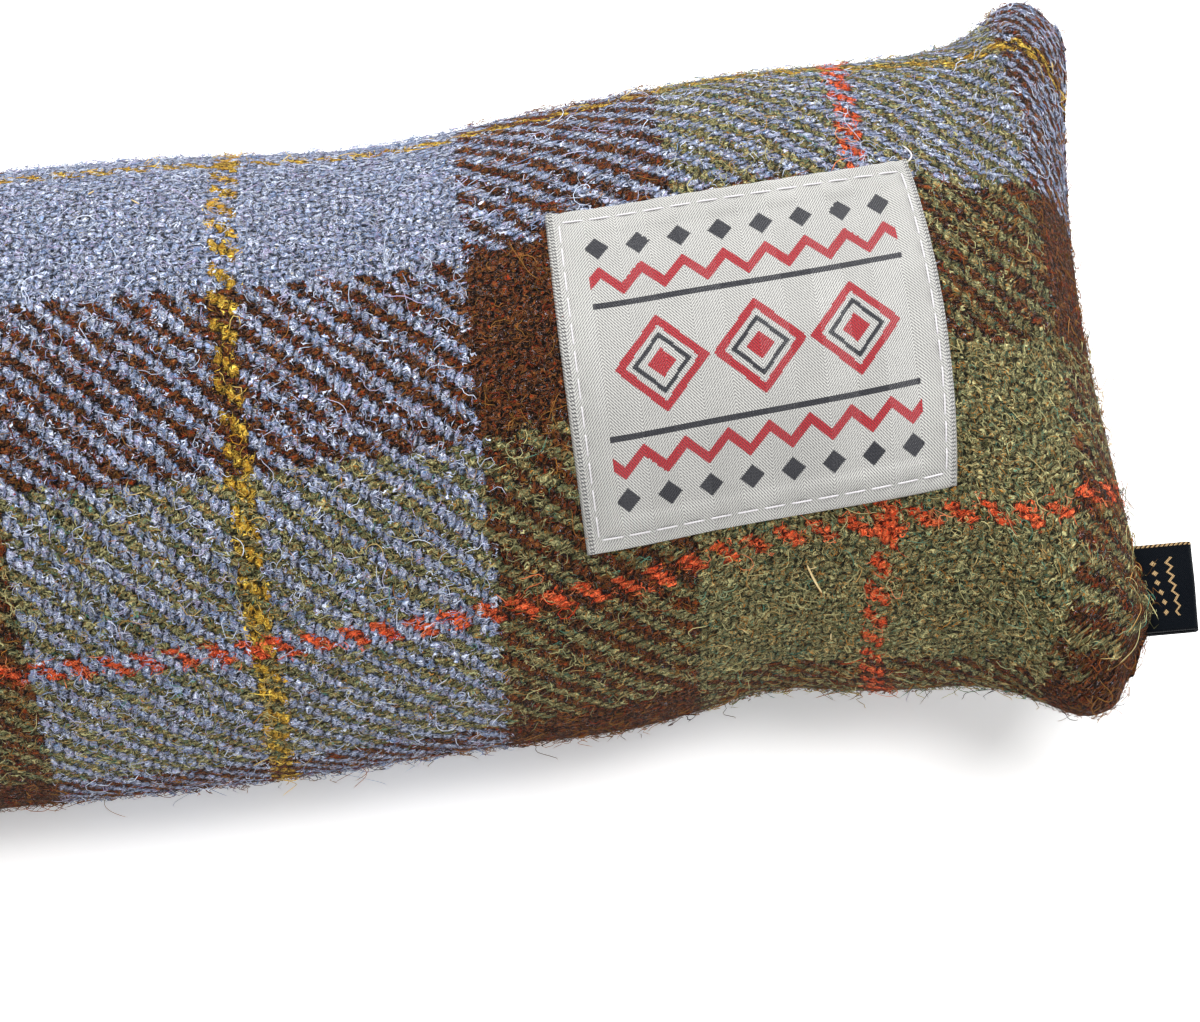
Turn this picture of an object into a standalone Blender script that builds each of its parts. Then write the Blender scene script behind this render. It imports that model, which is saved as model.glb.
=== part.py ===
"""Draught excluder: a long tube of checked wool tweed, filled with loose fibre and sewn flat at each end.

The tube lies along X on the plane z = 0, its decorated end towards +X and its front towards -Y. Both ends
are pillow ends: the two layers of cloth meet in a level seam at mid height, and the corners stand out as
small ears. A woven patch is sewn on the upper front near the right end, and a short folded tape, the side
tab, is caught in the right end seam. All sizes are in metres.
"""

import math

import bmesh
import bpy
import numpy as np

# Cover: a point of it has a distance from the right end seam and an angle from the top, positive to the front
LENGTH = 0.870
RADIUS = 0.0414
CENTRE_HEIGHT = 0.0388
END_ROUND = 0.060
FLAT_SPREAD = 1.32
SEAM_HALF_THICKNESS = 0.0012
SEAM_BOW = 0.0056
SEAM_BOW_FADE = 0.030
EAR_FRONT = (0.0058, 0.0102, 0.0108)
EAR_BACK = (0.0055, 0.0070, 0.0065)
PINCH_FRONT = (0.0036, 0.0019)
PINCH_BACK = (0.0026, 0.0021)
CORNER_FRONT = (0.0068, 5)
CORNER_BACK = (0.0018, 16)
CORNER_FADE = 0.012
TAB_HOLD = (0.0016, 0.83, 0.067)
TAB_HOLD_FADE = 0.006
LUMP_FADE = 0.008

# Sections along the tube: distance from the right seam, share of RADIUS, shift of the centre towards the back
SECTIONS = np.array(
    (
        (0.000, 0.955, 0.0000),
        (0.021, 0.958, -0.0010),
        (0.056, 0.990, -0.0022),
        (0.091, 0.976, -0.0052),
        (0.126, 1.009, -0.0050),
        (0.161, 1.018, -0.0047),
        (0.230, 0.982, -0.0032),
        (0.310, 1.008, 0.0004),
        (0.380, 0.990, 0.0026),
        (0.450, 1.004, 0.0018),
        (0.530, 0.982, -0.0012),
        (0.610, 1.002, -0.0034),
        (0.690, 0.988, -0.0026),
        (0.760, 1.000, -0.0004),
        (0.820, 0.972, 0.0006),
        (0.870, 0.955, 0.0000),
    )
)

# Lumps and dimples of the filling: distance, angle in degrees, height, length along, width in degrees
LUMPS = (
    (0.018, 60, -0.0006, 0.010, 30),
    (0.036, 112, 0.0008, 0.012, 30),
    (0.051, 118, -0.0015, 0.009, 32),
    (0.045, -54, 0.0006, 0.014, 30),
    (0.072, 112, 0.0007, 0.012, 30),
    (0.078, -54, 0.0005, 0.012, 30),
    (0.104, -56, -0.0004, 0.016, 32),
    (0.120, 20, 0.0006, 0.020, 35),
    (0.150, 100, -0.0008, 0.018, 35),
    (0.205, -40, 0.0012, 0.022, 38),
    (0.240, 75, -0.0013, 0.020, 34),
    (0.290, 10, -0.0010, 0.024, 36),
    (0.335, 95, 0.0012, 0.020, 34),
    (0.375, -60, -0.0014, 0.020, 36),
    (0.430, 35, 0.0010, 0.026, 36),
    (0.480, 105, -0.0012, 0.022, 32),
    (0.515, -35, 0.0011, 0.022, 38),
    (0.575, 60, -0.0011, 0.022, 34),
    (0.620, -70, 0.0013, 0.020, 34),
    (0.655, 15, -0.0010, 0.024, 36),
    (0.700, 90, 0.0012, 0.022, 34),
    (0.745, -45, -0.0012, 0.018, 34),
    (0.790, 40, 0.0009, 0.020, 34),
    (0.825, 118, -0.0013, 0.010, 32),
)

# Rings of the cover's mesh
RING_POINTS = 40
END_RING_DISTANCES = (0.0, 0.0008, 0.002, 0.004, 0.007, 0.011, 0.016, 0.022, 0.030, 0.039, 0.049, 0.060)
BODY_RINGS = 74

# Patch: its corners and the bow of its edges, as distance from the right seam and length round from the top
PATCH_CORNERS = {
    "top_left": (0.0735, -0.0054),
    "top_right": (0.0254, -0.0110),
    "bottom_right": (0.0256, 0.0344),
    "bottom_left": (0.0732, 0.0397),
}
PATCH_RIGHT_BOW = -0.0022
PATCH_TOP_BOW = 0.0034
PATCH_BOTTOM_BOW = 0.0021
PATCH_THICKNESS = 0.0010
PATCH_HEM_WIDTH = 0.05
PATCH_HEM_RISE = 0.0003
PATCH_COLUMNS = 24
PATCH_ROWS = 22

# Side tab: a tape folded in half, its two layers a little apart
TAB_ANGLE = math.radians(49.4)
TAB_WIDTH = 0.0127
TAB_PAST_CORNERS = 0.0038
TAB_LENGTH = 0.0077
TAB_LAYER = 0.0010
TAB_LAYER_GAP = 0.0005
TAB_DROOP = 0.0
TAB_SKEW = 0.08
TAB_SLICES = 16
TAB_FOLD_STEPS = 8

GAP = 0.0003
SMALL = 1e-5


def smooth_column(distance, column):
    """A cubic through the rows of SECTIONS, whose slope at a row is taken from the rows on either side."""
    rows, values = SECTIONS[:, 0], SECTIONS[:, column]
    slopes = np.gradient(values, rows)
    index = np.clip(np.searchsorted(rows, distance) - 1, 0, len(rows) - 2)
    span = rows[index + 1] - rows[index]
    f = (distance - rows[index]) / span
    near = values[index] * (2 * f**3 - 3 * f**2 + 1) + span * slopes[index] * (f**3 - 2 * f**2 + f)
    far = values[index + 1] * (3 * f**2 - 2 * f**3) + span * slopes[index + 1] * (f**3 - f**2)
    return near + far


def inset(turn, from_end):
    """How far the cloth is drawn in from the corners' plane, for the sine of the angle: the seam bows, and its
    front corner, where the sine is 1, lies further in than its back corner."""
    bow = SEAM_BOW * (1 - turn**2) * np.exp(-from_end / SEAM_BOW_FADE)
    corner = CORNER_FRONT[0] * np.clip(turn, 0, 1) ** CORNER_FRONT[1]
    corner = corner + CORNER_BACK[0] * np.clip(-turn, 0, 1) ** CORNER_BACK[1]
    return bow + corner * np.exp(-((from_end / CORNER_FADE) ** 2))


def tab_hold(turn, distance):
    """How far the right seam stands out where it holds the side tab: height, place and width in sines."""
    out, at, width = TAB_HOLD
    return out * np.exp(-(((turn - at) / width) ** 2) - (distance / TAB_HOLD_FADE) ** 2)


def ear(from_end, bulge, pinch):
    """How far a corner stands out: a bell (height, place, length) less the pinch of the seam (depth, fade)."""
    out, at, length = bulge
    depth, fade = pinch
    return out * np.exp(-(((from_end - at) / length) ** 2)) - depth * np.exp(-((from_end / fade) ** 2))


def lump_height(distance, angle):
    """The sum of the soft bell-shaped lumps at a place."""
    height = np.zeros_like(distance)
    for at, turn, rise, long, wide in LUMPS:
        off = (angle - math.radians(turn) + math.pi) % (2 * math.pi) - math.pi
        height += rise * np.exp(-(((distance - at) / long) ** 2) - (off / math.radians(wide)) ** 2)
    return height


# The right seam's plane is placed so that the left seam and the end of the tab lie equally far from x = 0
X_RIGHT = (LENGTH - inset(np.linspace(-1, 1, 401), 0).min() - TAB_PAST_CORNERS) / 2


def surface(distance, angle):
    """Points of the cover. A section is an ellipse whose height grows from the seam to the full radius along
    a quarter ellipse, while its width shrinks so that the sum of their squares changes little, as cloth of
    one length round does. Below z = 0 it is pressed flat by the surface that it lies on."""
    distance, angle = np.broadcast_arrays(np.asarray(distance, float), np.asarray(angle, float))
    from_end = np.minimum(distance, LENGTH - distance)
    side = np.where(distance < LENGTH / 2, 1, -1)
    along = np.clip(from_end / END_ROUND, 0, 1)
    high = SEAM_HALF_THICKNESS + (RADIUS - SEAM_HALF_THICKNESS) * np.sqrt(1 - (1 - along) ** 2)
    wide = np.sqrt(RADIUS**2 + (FLAT_SPREAD**2 - 1) * (RADIUS**2 - high**2))
    front = (1 + np.sin(angle)) / 2
    wide = wide + front * ear(from_end, EAR_FRONT, PINCH_FRONT)
    wide = wide + (1 - front) * ear(from_end, EAR_BACK, PINCH_BACK)
    share = smooth_column(distance, 1)
    lump = lump_height(distance, angle) * np.clip(from_end / LUMP_FADE, 0, 1)
    x = X_RIGHT - distance - side * inset(np.sin(angle), from_end) + tab_hold(np.sin(angle), distance)
    y = -(wide * share + lump) * np.sin(angle) + smooth_column(distance, 2)
    z = CENTRE_HEIGHT + (high * share + lump) * np.cos(angle)
    return np.stack([x, y, np.maximum(z, 0)], -1)


def outward(distance, angle):
    """Unit normals of the cover, from small steps both ways."""
    along = surface(distance + SMALL, angle) - surface(distance - SMALL, angle)
    round_it = surface(distance, angle + SMALL) - surface(distance, angle - SMALL)
    normal = np.cross(along, round_it)
    return normal / np.linalg.norm(normal, axis=-1, keepdims=True)


def angle_after(distance, length_round):
    """The angle that lies a given length of cloth round from the top, for each pair of values."""
    turns = np.linspace(-math.pi * 0.6, math.pi * 0.6, 481)
    angles = np.empty_like(length_round)
    for place in np.ndindex(length_round.shape):
        ring = surface(distance[place], turns)
        walked = np.concatenate([[0], np.cumsum(np.linalg.norm(np.diff(ring, axis=0), axis=1))])
        walked -= walked[len(turns) // 2]
        angles[place] = np.interp(length_round[place], walked, turns)
    return angles


def material(name, colour, roughness):
    made = bpy.data.materials.new(name)
    made.use_nodes = True
    shader = made.node_tree.nodes["Principled BSDF"]
    shader.inputs["Base Color"].default_value = (*colour, 1)
    shader.inputs["Roughness"].default_value = roughness
    shader.inputs["Metallic"].default_value = 0
    made.diffuse_color = (*colour, 1)
    return made


def add_object(name, points, faces, finish):
    mesh = bpy.data.meshes.new(name)
    mesh.from_pydata(points.tolist(), [], faces)
    mesh.materials.append(finish)
    shaped = bmesh.new()
    shaped.from_mesh(mesh)
    bmesh.ops.recalc_face_normals(shaped, faces=shaped.faces)
    shaped.to_mesh(mesh)
    shaped.free()
    mesh.shade_smooth()
    made = bpy.data.objects.new(name, mesh)
    bpy.context.scene.collection.objects.link(made)
    return made


def grid_faces(rows, columns, closed_round):
    """Quads between neighbouring points of a grid stored row by row."""
    last = columns if closed_round else columns - 1
    faces = []
    for start in range(0, (rows - 1) * columns, columns):
        for column in range(last):
            near = (start + column, start + (column + 1) % columns)
            faces.append((near[0], near[1], near[1] + columns, near[0] + columns))
    return faces


def seam_cap(first, columns):
    """Quads that close a seam ring, each between a pair of upper points and the pair below them."""
    faces = []
    for step in range(-columns // 4, columns // 4):
        upper = (step % columns, (step + 1) % columns)
        lower = tuple((columns // 2 - point) % columns for point in upper)
        corners = []
        for point in (upper[0], upper[1], lower[1], lower[0]):
            if first + point not in corners:
                corners.append(first + point)
        faces.append(tuple(corners))
    return faces


def tweed_tube():
    ends = np.array(END_RING_DISTANCES)
    body = np.linspace(ends[-1], LENGTH - ends[-1], BODY_RINGS)[1:-1]
    distances = np.concatenate([ends, body, LENGTH - ends[::-1]])
    angles = np.arange(RING_POINTS) * 2 * math.pi / RING_POINTS
    points = surface(distances[:, None], angles[None, :]).reshape(-1, 3)
    faces = grid_faces(len(distances), RING_POINTS, closed_round=True)
    faces += seam_cap(0, RING_POINTS)
    faces += seam_cap((len(distances) - 1) * RING_POINTS, RING_POINTS)
    return add_object("tweed_tube", points, faces, material("wool_tweed", (0.16, 0.17, 0.13), 0.95))


def patch_place(across, down):
    """Distance from the right seam and length round for shares across and down the patch, edges bowed."""
    top_left, top_right, bottom_right, bottom_left = (np.array(corner) for corner in PATCH_CORNERS.values())
    across, down = across[..., None], down[..., None]
    top = top_left * (1 - across) + top_right * across
    bottom = bottom_left * (1 - across) + bottom_right * across
    place = top * (1 - down) + bottom * down
    swell_across = 4 * across * (1 - across)
    swell_down = 4 * down * (1 - down)
    place[..., :1] += PATCH_RIGHT_BOW * across * swell_down
    place[..., 1:] += swell_across * (PATCH_TOP_BOW * (1 - down) + PATCH_BOTTOM_BOW * down)
    return place[..., 0], place[..., 1]


def sheet_faces(rows, columns):
    """Faces of a thin closed sheet: an outer grid, an inner grid stored after it and the rim between them."""
    count = rows * columns
    outer = grid_faces(rows, columns, closed_round=False)
    inner = [tuple(count + point for point in reversed(face)) for face in outer]
    rim = list(range(columns))
    rim += [row * columns + columns - 1 for row in range(1, rows)]
    rim += [(rows - 1) * columns + column for column in range(columns - 2, -1, -1)]
    rim += [row * columns for row in range(rows - 2, 0, -1)]
    walls = [(a, b, count + b, count + a) for a, b in zip(rim, rim[1:] + rim[:1])]
    return outer + inner + walls


def woven_patch():
    across, down = np.meshgrid(np.linspace(0, 1, PATCH_COLUMNS), np.linspace(0, 1, PATCH_ROWS))
    distance, length_round = patch_place(across, down)
    angle = angle_after(distance, length_round)
    base = surface(distance, angle)
    normal = outward(distance, angle)
    edge = np.minimum(np.minimum(across, 1 - across), np.minimum(down, 1 - down))
    hem = np.clip(2 - edge / PATCH_HEM_WIDTH, 0, 1)[..., None]
    inner = base + normal * GAP
    outer = inner + normal * (PATCH_THICKNESS + PATCH_HEM_RISE * hem)
    points = np.concatenate([outer.reshape(-1, 3), inner.reshape(-1, 3)])
    faces = sheet_faces(PATCH_ROWS, PATCH_COLUMNS)
    return add_object("woven_patch", points, faces, material("satin_label_cloth", (0.66, 0.65, 0.68), 0.45))


def tab_profile():
    """The folded tape seen along its width, as outward length and height: out on top, round the fold, back
    below, then the same way inside, so the narrow space between the two layers is open at the seam."""
    outer_radius = TAB_LAYER + TAB_LAYER_GAP / 2
    inner_radius = TAB_LAYER_GAP / 2
    turn = np.linspace(math.pi / 2, -math.pi / 2, TAB_FOLD_STEPS + 1)
    straight = np.linspace(0, TAB_LENGTH - outer_radius, 5)[:-1]
    centre = TAB_LENGTH - outer_radius
    outside = [(out, outer_radius) for out in straight]
    outside += [(centre + outer_radius * math.cos(t), outer_radius * math.sin(t)) for t in turn]
    outside += [(out, -outer_radius) for out in straight[::-1]]
    inside = [(out, -inner_radius) for out in straight]
    inside += [(centre + inner_radius * math.cos(t), inner_radius * math.sin(t)) for t in turn[::-1]]
    inside += [(out, inner_radius) for out in straight[::-1]]
    return np.array(outside + inside)


def side_tab():
    """Slices of the profile side by side along the seam, from just outside the cover's edge to one straight
    fold, so the tape is a little longer where the seam bows inwards."""
    profile = tab_profile()
    middle_y = surface(0.0, TAB_ANGLE)[1]
    across = middle_y + np.linspace(TAB_WIDTH / 2, -TAB_WIDTH / 2, TAB_SLICES)
    half_width = abs(surface(0.0, math.pi / 2)[1])
    seam_angles = np.arcsin(-across / half_width)
    start = surface(0.0, seam_angles)[:, 0] + GAP
    fold = X_RIGHT + TAB_PAST_CORNERS - TAB_SKEW * (across.max() - across)
    x = start[:, None] + profile[None, :, 0] / TAB_LENGTH * (fold - start)[:, None]
    z = CENTRE_HEIGHT + profile[None, :, 1] - math.tan(TAB_DROOP) * profile[None, :, 0]
    y = np.broadcast_to(across[:, None], x.shape)
    points = np.stack([x, y, np.broadcast_to(z, x.shape)], -1).reshape(-1, 3)
    count = len(profile)
    faces = grid_faces(TAB_SLICES, count, closed_round=True)
    half = count // 2
    for first in (0, (TAB_SLICES - 1) * count):
        last = first + count - 1
        faces += [(first + step, first + step + 1, last - 1 - step, last - step) for step in range(half - 1)]
    return add_object("side_tab", points, faces, material("navy_tape", (0.008, 0.014, 0.026), 0.7))


def main():
    for old in list(bpy.data.objects):
        bpy.data.objects.remove(old)
    tweed_tube()
    woven_patch()
    side_tab()


main()
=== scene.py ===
# %% [markdown]
# # A draught excluder of checked wool tweed
# The real thing is a long tube of woollen cloth, filled with loose fibre and sewn flat at both ends, which
# lies along the foot of a door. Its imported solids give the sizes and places, and they are loaded first as a
# fixed frame. Everything after that is the finish: the cloth with its check, the hairs that stand out of
# it, the sewn patch with its stitches, and the little folded tape in the end seam.

# %% Load the solids
import math

import bpy
import numpy as np
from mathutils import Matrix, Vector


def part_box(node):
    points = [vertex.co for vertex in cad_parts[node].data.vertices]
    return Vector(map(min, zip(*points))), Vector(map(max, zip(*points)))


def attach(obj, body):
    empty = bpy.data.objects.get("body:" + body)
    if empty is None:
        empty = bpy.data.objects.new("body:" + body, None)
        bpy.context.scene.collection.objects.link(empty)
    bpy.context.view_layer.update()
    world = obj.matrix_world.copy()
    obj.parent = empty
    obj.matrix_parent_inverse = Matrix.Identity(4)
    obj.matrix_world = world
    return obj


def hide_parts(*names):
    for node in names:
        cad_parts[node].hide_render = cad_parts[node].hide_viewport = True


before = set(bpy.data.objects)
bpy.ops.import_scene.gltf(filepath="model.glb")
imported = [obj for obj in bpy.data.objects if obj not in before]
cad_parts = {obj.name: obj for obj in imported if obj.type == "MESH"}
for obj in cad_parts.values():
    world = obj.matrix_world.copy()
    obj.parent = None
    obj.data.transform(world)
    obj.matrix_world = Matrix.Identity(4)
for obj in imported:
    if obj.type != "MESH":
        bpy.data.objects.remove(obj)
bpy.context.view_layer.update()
tube_low, tube_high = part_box("tweed_tube")
print("solids", sorted(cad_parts), "tube in mm", [round(1000 * v, 1) for v in (tube_high - tube_low)])

# %% [markdown]
# ## Small tools
# Colours are written as the sRGB values that a screen shows, and a shader counts light, so one function
# turns them to linear. Another adds a shader node with its settings and links. A third puts whole numpy
# arrays into a mesh, which is far quicker than adding points one by one. The rest fill a ramp with bands of
# colour, start a material, and give it its colour and relief.

# %% Colour, node and mesh tools
MILLIMETRE = 0.001
MATH = "ShaderNodeMath"
VECTOR = "ShaderNodeVectorMath"
NOISE = "ShaderNodeTexNoise"
MIX = "ShaderNodeMix"
STEP = "ShaderNodeMapRange"


def linear(code):
    """Linear colour with alpha 1 for an sRGB hex code. Each value v becomes v / 12.92 below 0.04045, and
    above it ((v + 0.055) / 1.055) to the power 2.4."""
    values = np.array([int(code[place:place + 2], 16) for place in (1, 3, 5)]) / 255
    low = values / 12.92
    high = ((values + 0.055) / 1.055) ** 2.4
    return (*np.where(values < 0.04045, low, high).tolist(), 1.0)


def add(tree, kind, inputs=None, **settings):
    """Adds one node. Its inputs are given by name or number, as values, sockets or nodes (their first
    output)."""
    made = tree.nodes.new(kind)
    for name, value in settings.items():
        setattr(made, name, value)
    for name, value in (inputs or {}).items():
        if isinstance(value, bpy.types.Node):
            value = value.outputs[0]
        if isinstance(value, bpy.types.NodeSocket):
            tree.links.new(value, made.inputs[name])
        else:
            made.inputs[name].default_value = value
    return made


def bands(ramp, stops):
    """Fills a colour ramp with (start, hex code) bands that don't blend."""
    ramp.color_ramp.interpolation = "CONSTANT"
    elements = ramp.color_ramp.elements
    for start, code in stops[1:-1]:
        elements.new(start)
    for element, (start, code) in zip(elements, stops):
        element.position = start
        element.color = linear(code)


def new_material(name, surface):
    """A node tree with an output and a Principled shader, whose constants are given by name."""
    made = bpy.data.materials.new(name)
    made.use_nodes = True
    made.node_tree.nodes.clear()
    shader = add(made.node_tree, "ShaderNodeBsdfPrincipled", surface)
    add(made.node_tree, "ShaderNodeOutputMaterial", {"Surface": shader})
    return made, made.node_tree, shader


def coat(tree, shader, colour, height, depth, strength):
    """Gives a shader its colour, and a relief whose depth is in metres."""
    bump = add(tree, "ShaderNodeBump", {"Strength": strength, "Distance": depth, "Height": height})
    tree.links.new(colour, shader.inputs["Base Color"])
    tree.links.new(bump.outputs[0], shader.inputs["Normal"])


def mesh_piece(name, points, faces, material, maps=None, colours=None):
    """Puts points (n, 3) and faces (m, corners) into a mesh. Each map holds the (m, corners, 2) places of the
    faces' corners, and colours holds one colour for each point."""
    mesh = bpy.data.meshes.new(name)
    corners = faces.shape[1]
    mesh.vertices.add(len(points))
    mesh.vertices.foreach_set("co", np.asarray(points, np.float32).ravel())
    mesh.loops.add(faces.size)
    mesh.loops.foreach_set("vertex_index", np.asarray(faces, np.int32).ravel())
    mesh.polygons.add(len(faces))
    mesh.polygons.foreach_set("loop_start", np.arange(0, faces.size, corners, dtype=np.int32))
    mesh.update(calc_edges=True)
    for title, places in (maps or {}).items():
        layer = mesh.uv_layers.new(name=title)
        layer.uv.foreach_set("vector", np.asarray(places, np.float32).ravel())
    if colours is not None:
        layer = mesh.color_attributes.new("yarn_colour", "FLOAT_COLOR", "POINT")
        layer.data.foreach_set("color", np.asarray(colours, np.float32).ravel())
    mesh.materials.append(material)
    mesh.shade_smooth()
    made = bpy.data.objects.new(name, mesh)
    bpy.context.scene.collection.objects.link(made)
    triangles = len(faces) * (corners - 2)
    print(f"{name}: {len(points)} points, {triangles} triangles")
    return made


# %% [markdown]
# ## The shape of the cover
# A filled tube is round in the middle and turns into a flat pillow end: the height falls to nothing at the
# end seam while the width grows, because the cloth keeps one length round. The end seam bows in between its
# corners, which stand out as small ears. The formula is the one that the solids were made with, so the fine
# cloth lies on them.

# %% Sizes of the cover, in metres
LENGTH = 0.870
RADIUS = 0.0414
CENTRE_HEIGHT = 0.0388
END_ROUND = 0.060
FLAT_SPREAD = 1.32
SEAM_HALF_THICKNESS = 0.0012
SEAM_BOW = 0.0056
SEAM_BOW_FADE = 0.030
EAR_FRONT = (0.0058, 0.0102, 0.0108)
EAR_BACK = (0.0055, 0.0070, 0.0065)
PINCH_FRONT = (0.0036, 0.0019)
PINCH_BACK = (0.0026, 0.0021)
CORNER_FRONT = (0.0068, 5)
CORNER_BACK = (0.0018, 16)
CORNER_FADE = 0.012
TAB_HOLD = (0.0016, 0.83, 0.067)
TAB_HOLD_FADE = 0.006
LUMP_FADE = 0.008
TAB_PAST_CORNERS = 0.0038
PUCKER_HEIGHT = 0.00035
PUCKER_PITCH = 0.0088
PUCKER_REACH = 0.009
SMALL = 1e-5

# Sections along the tube: distance from the right seam, share of RADIUS, shift of the centre towards the back
SECTIONS = np.array(
    (
        (0.000, 0.955, 0.0000),
        (0.021, 0.958, -0.0010),
        (0.056, 0.990, -0.0022),
        (0.091, 0.976, -0.0052),
        (0.126, 1.009, -0.0050),
        (0.161, 1.018, -0.0047),
        (0.230, 0.982, -0.0032),
        (0.310, 1.008, 0.0004),
        (0.380, 0.990, 0.0026),
        (0.450, 1.004, 0.0018),
        (0.530, 0.982, -0.0012),
        (0.610, 1.002, -0.0034),
        (0.690, 0.988, -0.0026),
        (0.760, 1.000, -0.0004),
        (0.820, 0.972, 0.0006),
        (0.870, 0.955, 0.0000),
    )
)

# Lumps and dimples of the filling: distance, angle in degrees, height, length along, width in degrees
LUMPS = (
    (0.018, 60, -0.0006, 0.010, 30),
    (0.036, 112, 0.0008, 0.012, 30),
    (0.051, 118, -0.0015, 0.009, 32),
    (0.045, -54, 0.0006, 0.014, 30),
    (0.072, 112, 0.0007, 0.012, 30),
    (0.078, -54, 0.0005, 0.012, 30),
    (0.104, -56, -0.0004, 0.016, 32),
    (0.120, 20, 0.0006, 0.020, 35),
    (0.150, 100, -0.0008, 0.018, 35),
    (0.205, -40, 0.0012, 0.022, 38),
    (0.240, 75, -0.0013, 0.020, 34),
    (0.290, 10, -0.0010, 0.024, 36),
    (0.335, 95, 0.0012, 0.020, 34),
    (0.375, -60, -0.0014, 0.020, 36),
    (0.430, 35, 0.0010, 0.026, 36),
    (0.480, 105, -0.0012, 0.022, 32),
    (0.515, -35, 0.0011, 0.022, 38),
    (0.575, 60, -0.0011, 0.022, 34),
    (0.620, -70, 0.0013, 0.020, 34),
    (0.655, 15, -0.0010, 0.024, 36),
    (0.700, 90, 0.0012, 0.022, 34),
    (0.745, -45, -0.0012, 0.018, 34),
    (0.790, 40, 0.0009, 0.020, 34),
    (0.825, 118, -0.0013, 0.010, 32),
)


# %% The cover as a function of distance and angle
def smooth_column(distance, column):
    """A cubic through the rows of SECTIONS, whose slope at a row is taken from the rows on either side."""
    rows, values = SECTIONS[:, 0], SECTIONS[:, column]
    slopes = np.gradient(values, rows)
    index = np.clip(np.searchsorted(rows, distance) - 1, 0, len(rows) - 2)
    span = rows[index + 1] - rows[index]
    f = (distance - rows[index]) / span
    near = values[index] * (2 * f**3 - 3 * f**2 + 1) + span * slopes[index] * (f**3 - 2 * f**2 + f)
    far = values[index + 1] * (3 * f**2 - 2 * f**3) + span * slopes[index + 1] * (f**3 - f**2)
    return near + far


def inset(turn, from_end):
    """How far the cloth is drawn in from the corners' plane, for the sine of the angle: the seam bows, and
    its front corner, where the sine is 1, lies further in than its back corner."""
    bow = SEAM_BOW * (1 - turn**2) * np.exp(-from_end / SEAM_BOW_FADE)
    corner = CORNER_FRONT[0] * np.clip(turn, 0, 1) ** CORNER_FRONT[1]
    corner = corner + CORNER_BACK[0] * np.clip(-turn, 0, 1) ** CORNER_BACK[1]
    return bow + corner * np.exp(-((from_end / CORNER_FADE) ** 2))


def tab_hold(turn, distance):
    """How far the right seam stands out where it holds the side tab: height, place and width in sines."""
    out, at, width = TAB_HOLD
    return out * np.exp(-(((turn - at) / width) ** 2) - (distance / TAB_HOLD_FADE) ** 2)


def ear(from_end, bulge, pinch):
    """How far a corner stands out: a bell (height, place, length) less the pinch of the seam (depth,
    fade)."""
    out, at, length = bulge
    depth, fade = pinch
    return out * np.exp(-(((from_end - at) / length) ** 2)) - depth * np.exp(-((from_end / fade) ** 2))


X_RIGHT = (LENGTH - inset(np.linspace(-1, 1, 401), 0).min() - TAB_PAST_CORNERS) / 2


def relief(distance, angle, from_end):
    """Height of the filling's bell-shaped lumps, plus the puckers of the end seam: a wave across the width
    that is highest a few millimetres from the seam."""
    height = np.zeros_like(distance)
    for at, turn, rise, long, wide in LUMPS:
        off = (angle - math.radians(turn) + math.pi) % (2 * math.pi) - math.pi
        height += rise * np.exp(-(((distance - at) / long) ** 2) - (off / math.radians(wide)) ** 2)
    across = RADIUS * FLAT_SPREAD * np.sin(angle)
    wave = np.sin(2 * math.pi * across / PUCKER_PITCH + 2.2 * np.sin(across / PUCKER_PITCH))
    reach = (from_end / PUCKER_REACH) * np.exp(1 - from_end / PUCKER_REACH)
    return height + PUCKER_HEIGHT * wave * reach**2 * np.cos(angle) ** 2


def surface(distance, angle):
    """Points of the cover. A section is an ellipse whose height grows from the seam to the full radius along
    a quarter ellipse, while its width shrinks so that the sum of their squares changes little, as cloth of
    one length round does. Below z = 0 it is pressed flat by the surface that it lies on."""
    distance, angle = np.broadcast_arrays(np.asarray(distance, float), np.asarray(angle, float))
    from_end = np.minimum(distance, LENGTH - distance)
    side = np.where(distance < LENGTH / 2, 1, -1)
    along = np.clip(from_end / END_ROUND, 0, 1)
    high = SEAM_HALF_THICKNESS + (RADIUS - SEAM_HALF_THICKNESS) * np.sqrt(1 - (1 - along) ** 2)
    wide = np.sqrt(RADIUS**2 + (FLAT_SPREAD**2 - 1) * (RADIUS**2 - high**2))
    front = (1 + np.sin(angle)) / 2
    wide = wide + front * ear(from_end, EAR_FRONT, PINCH_FRONT)
    wide = wide + (1 - front) * ear(from_end, EAR_BACK, PINCH_BACK)
    share = smooth_column(distance, 1)
    lump = relief(distance, angle, from_end) * np.clip(from_end / LUMP_FADE, 0, 1)
    x = X_RIGHT - distance - side * inset(np.sin(angle), from_end) + tab_hold(np.sin(angle), distance)
    y = -(wide * share + lump) * np.sin(angle) + smooth_column(distance, 2)
    z = CENTRE_HEIGHT + (high * share + lump) * np.cos(angle)
    return np.stack([x, y, np.maximum(z, 0)], -1)


def outward(distance, angle):
    """Unit normals of the cover, from small steps both ways."""
    along = surface(distance + SMALL, angle) - surface(distance - SMALL, angle)
    round_it = surface(distance, angle + SMALL) - surface(distance, angle - SMALL)
    normal = np.cross(along, round_it)
    return normal / np.linalg.norm(normal, axis=-1, keepdims=True)


# %% [markdown]
# ## Where each thread runs
# Cloth doesn't stretch like rubber, so its threads are counted along the cloth and not through the air.
# Walking along the cover from its end seam gives the crosswise thread, and walking round it gives the
# lengthwise one. Near the ends the cloth was sewn a little askew, which turns the check there. Both counts
# go into a map on the mesh, and the shader reads them: one unit of the map is one thread, so nothing has to
# be drawn to fit.

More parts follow.
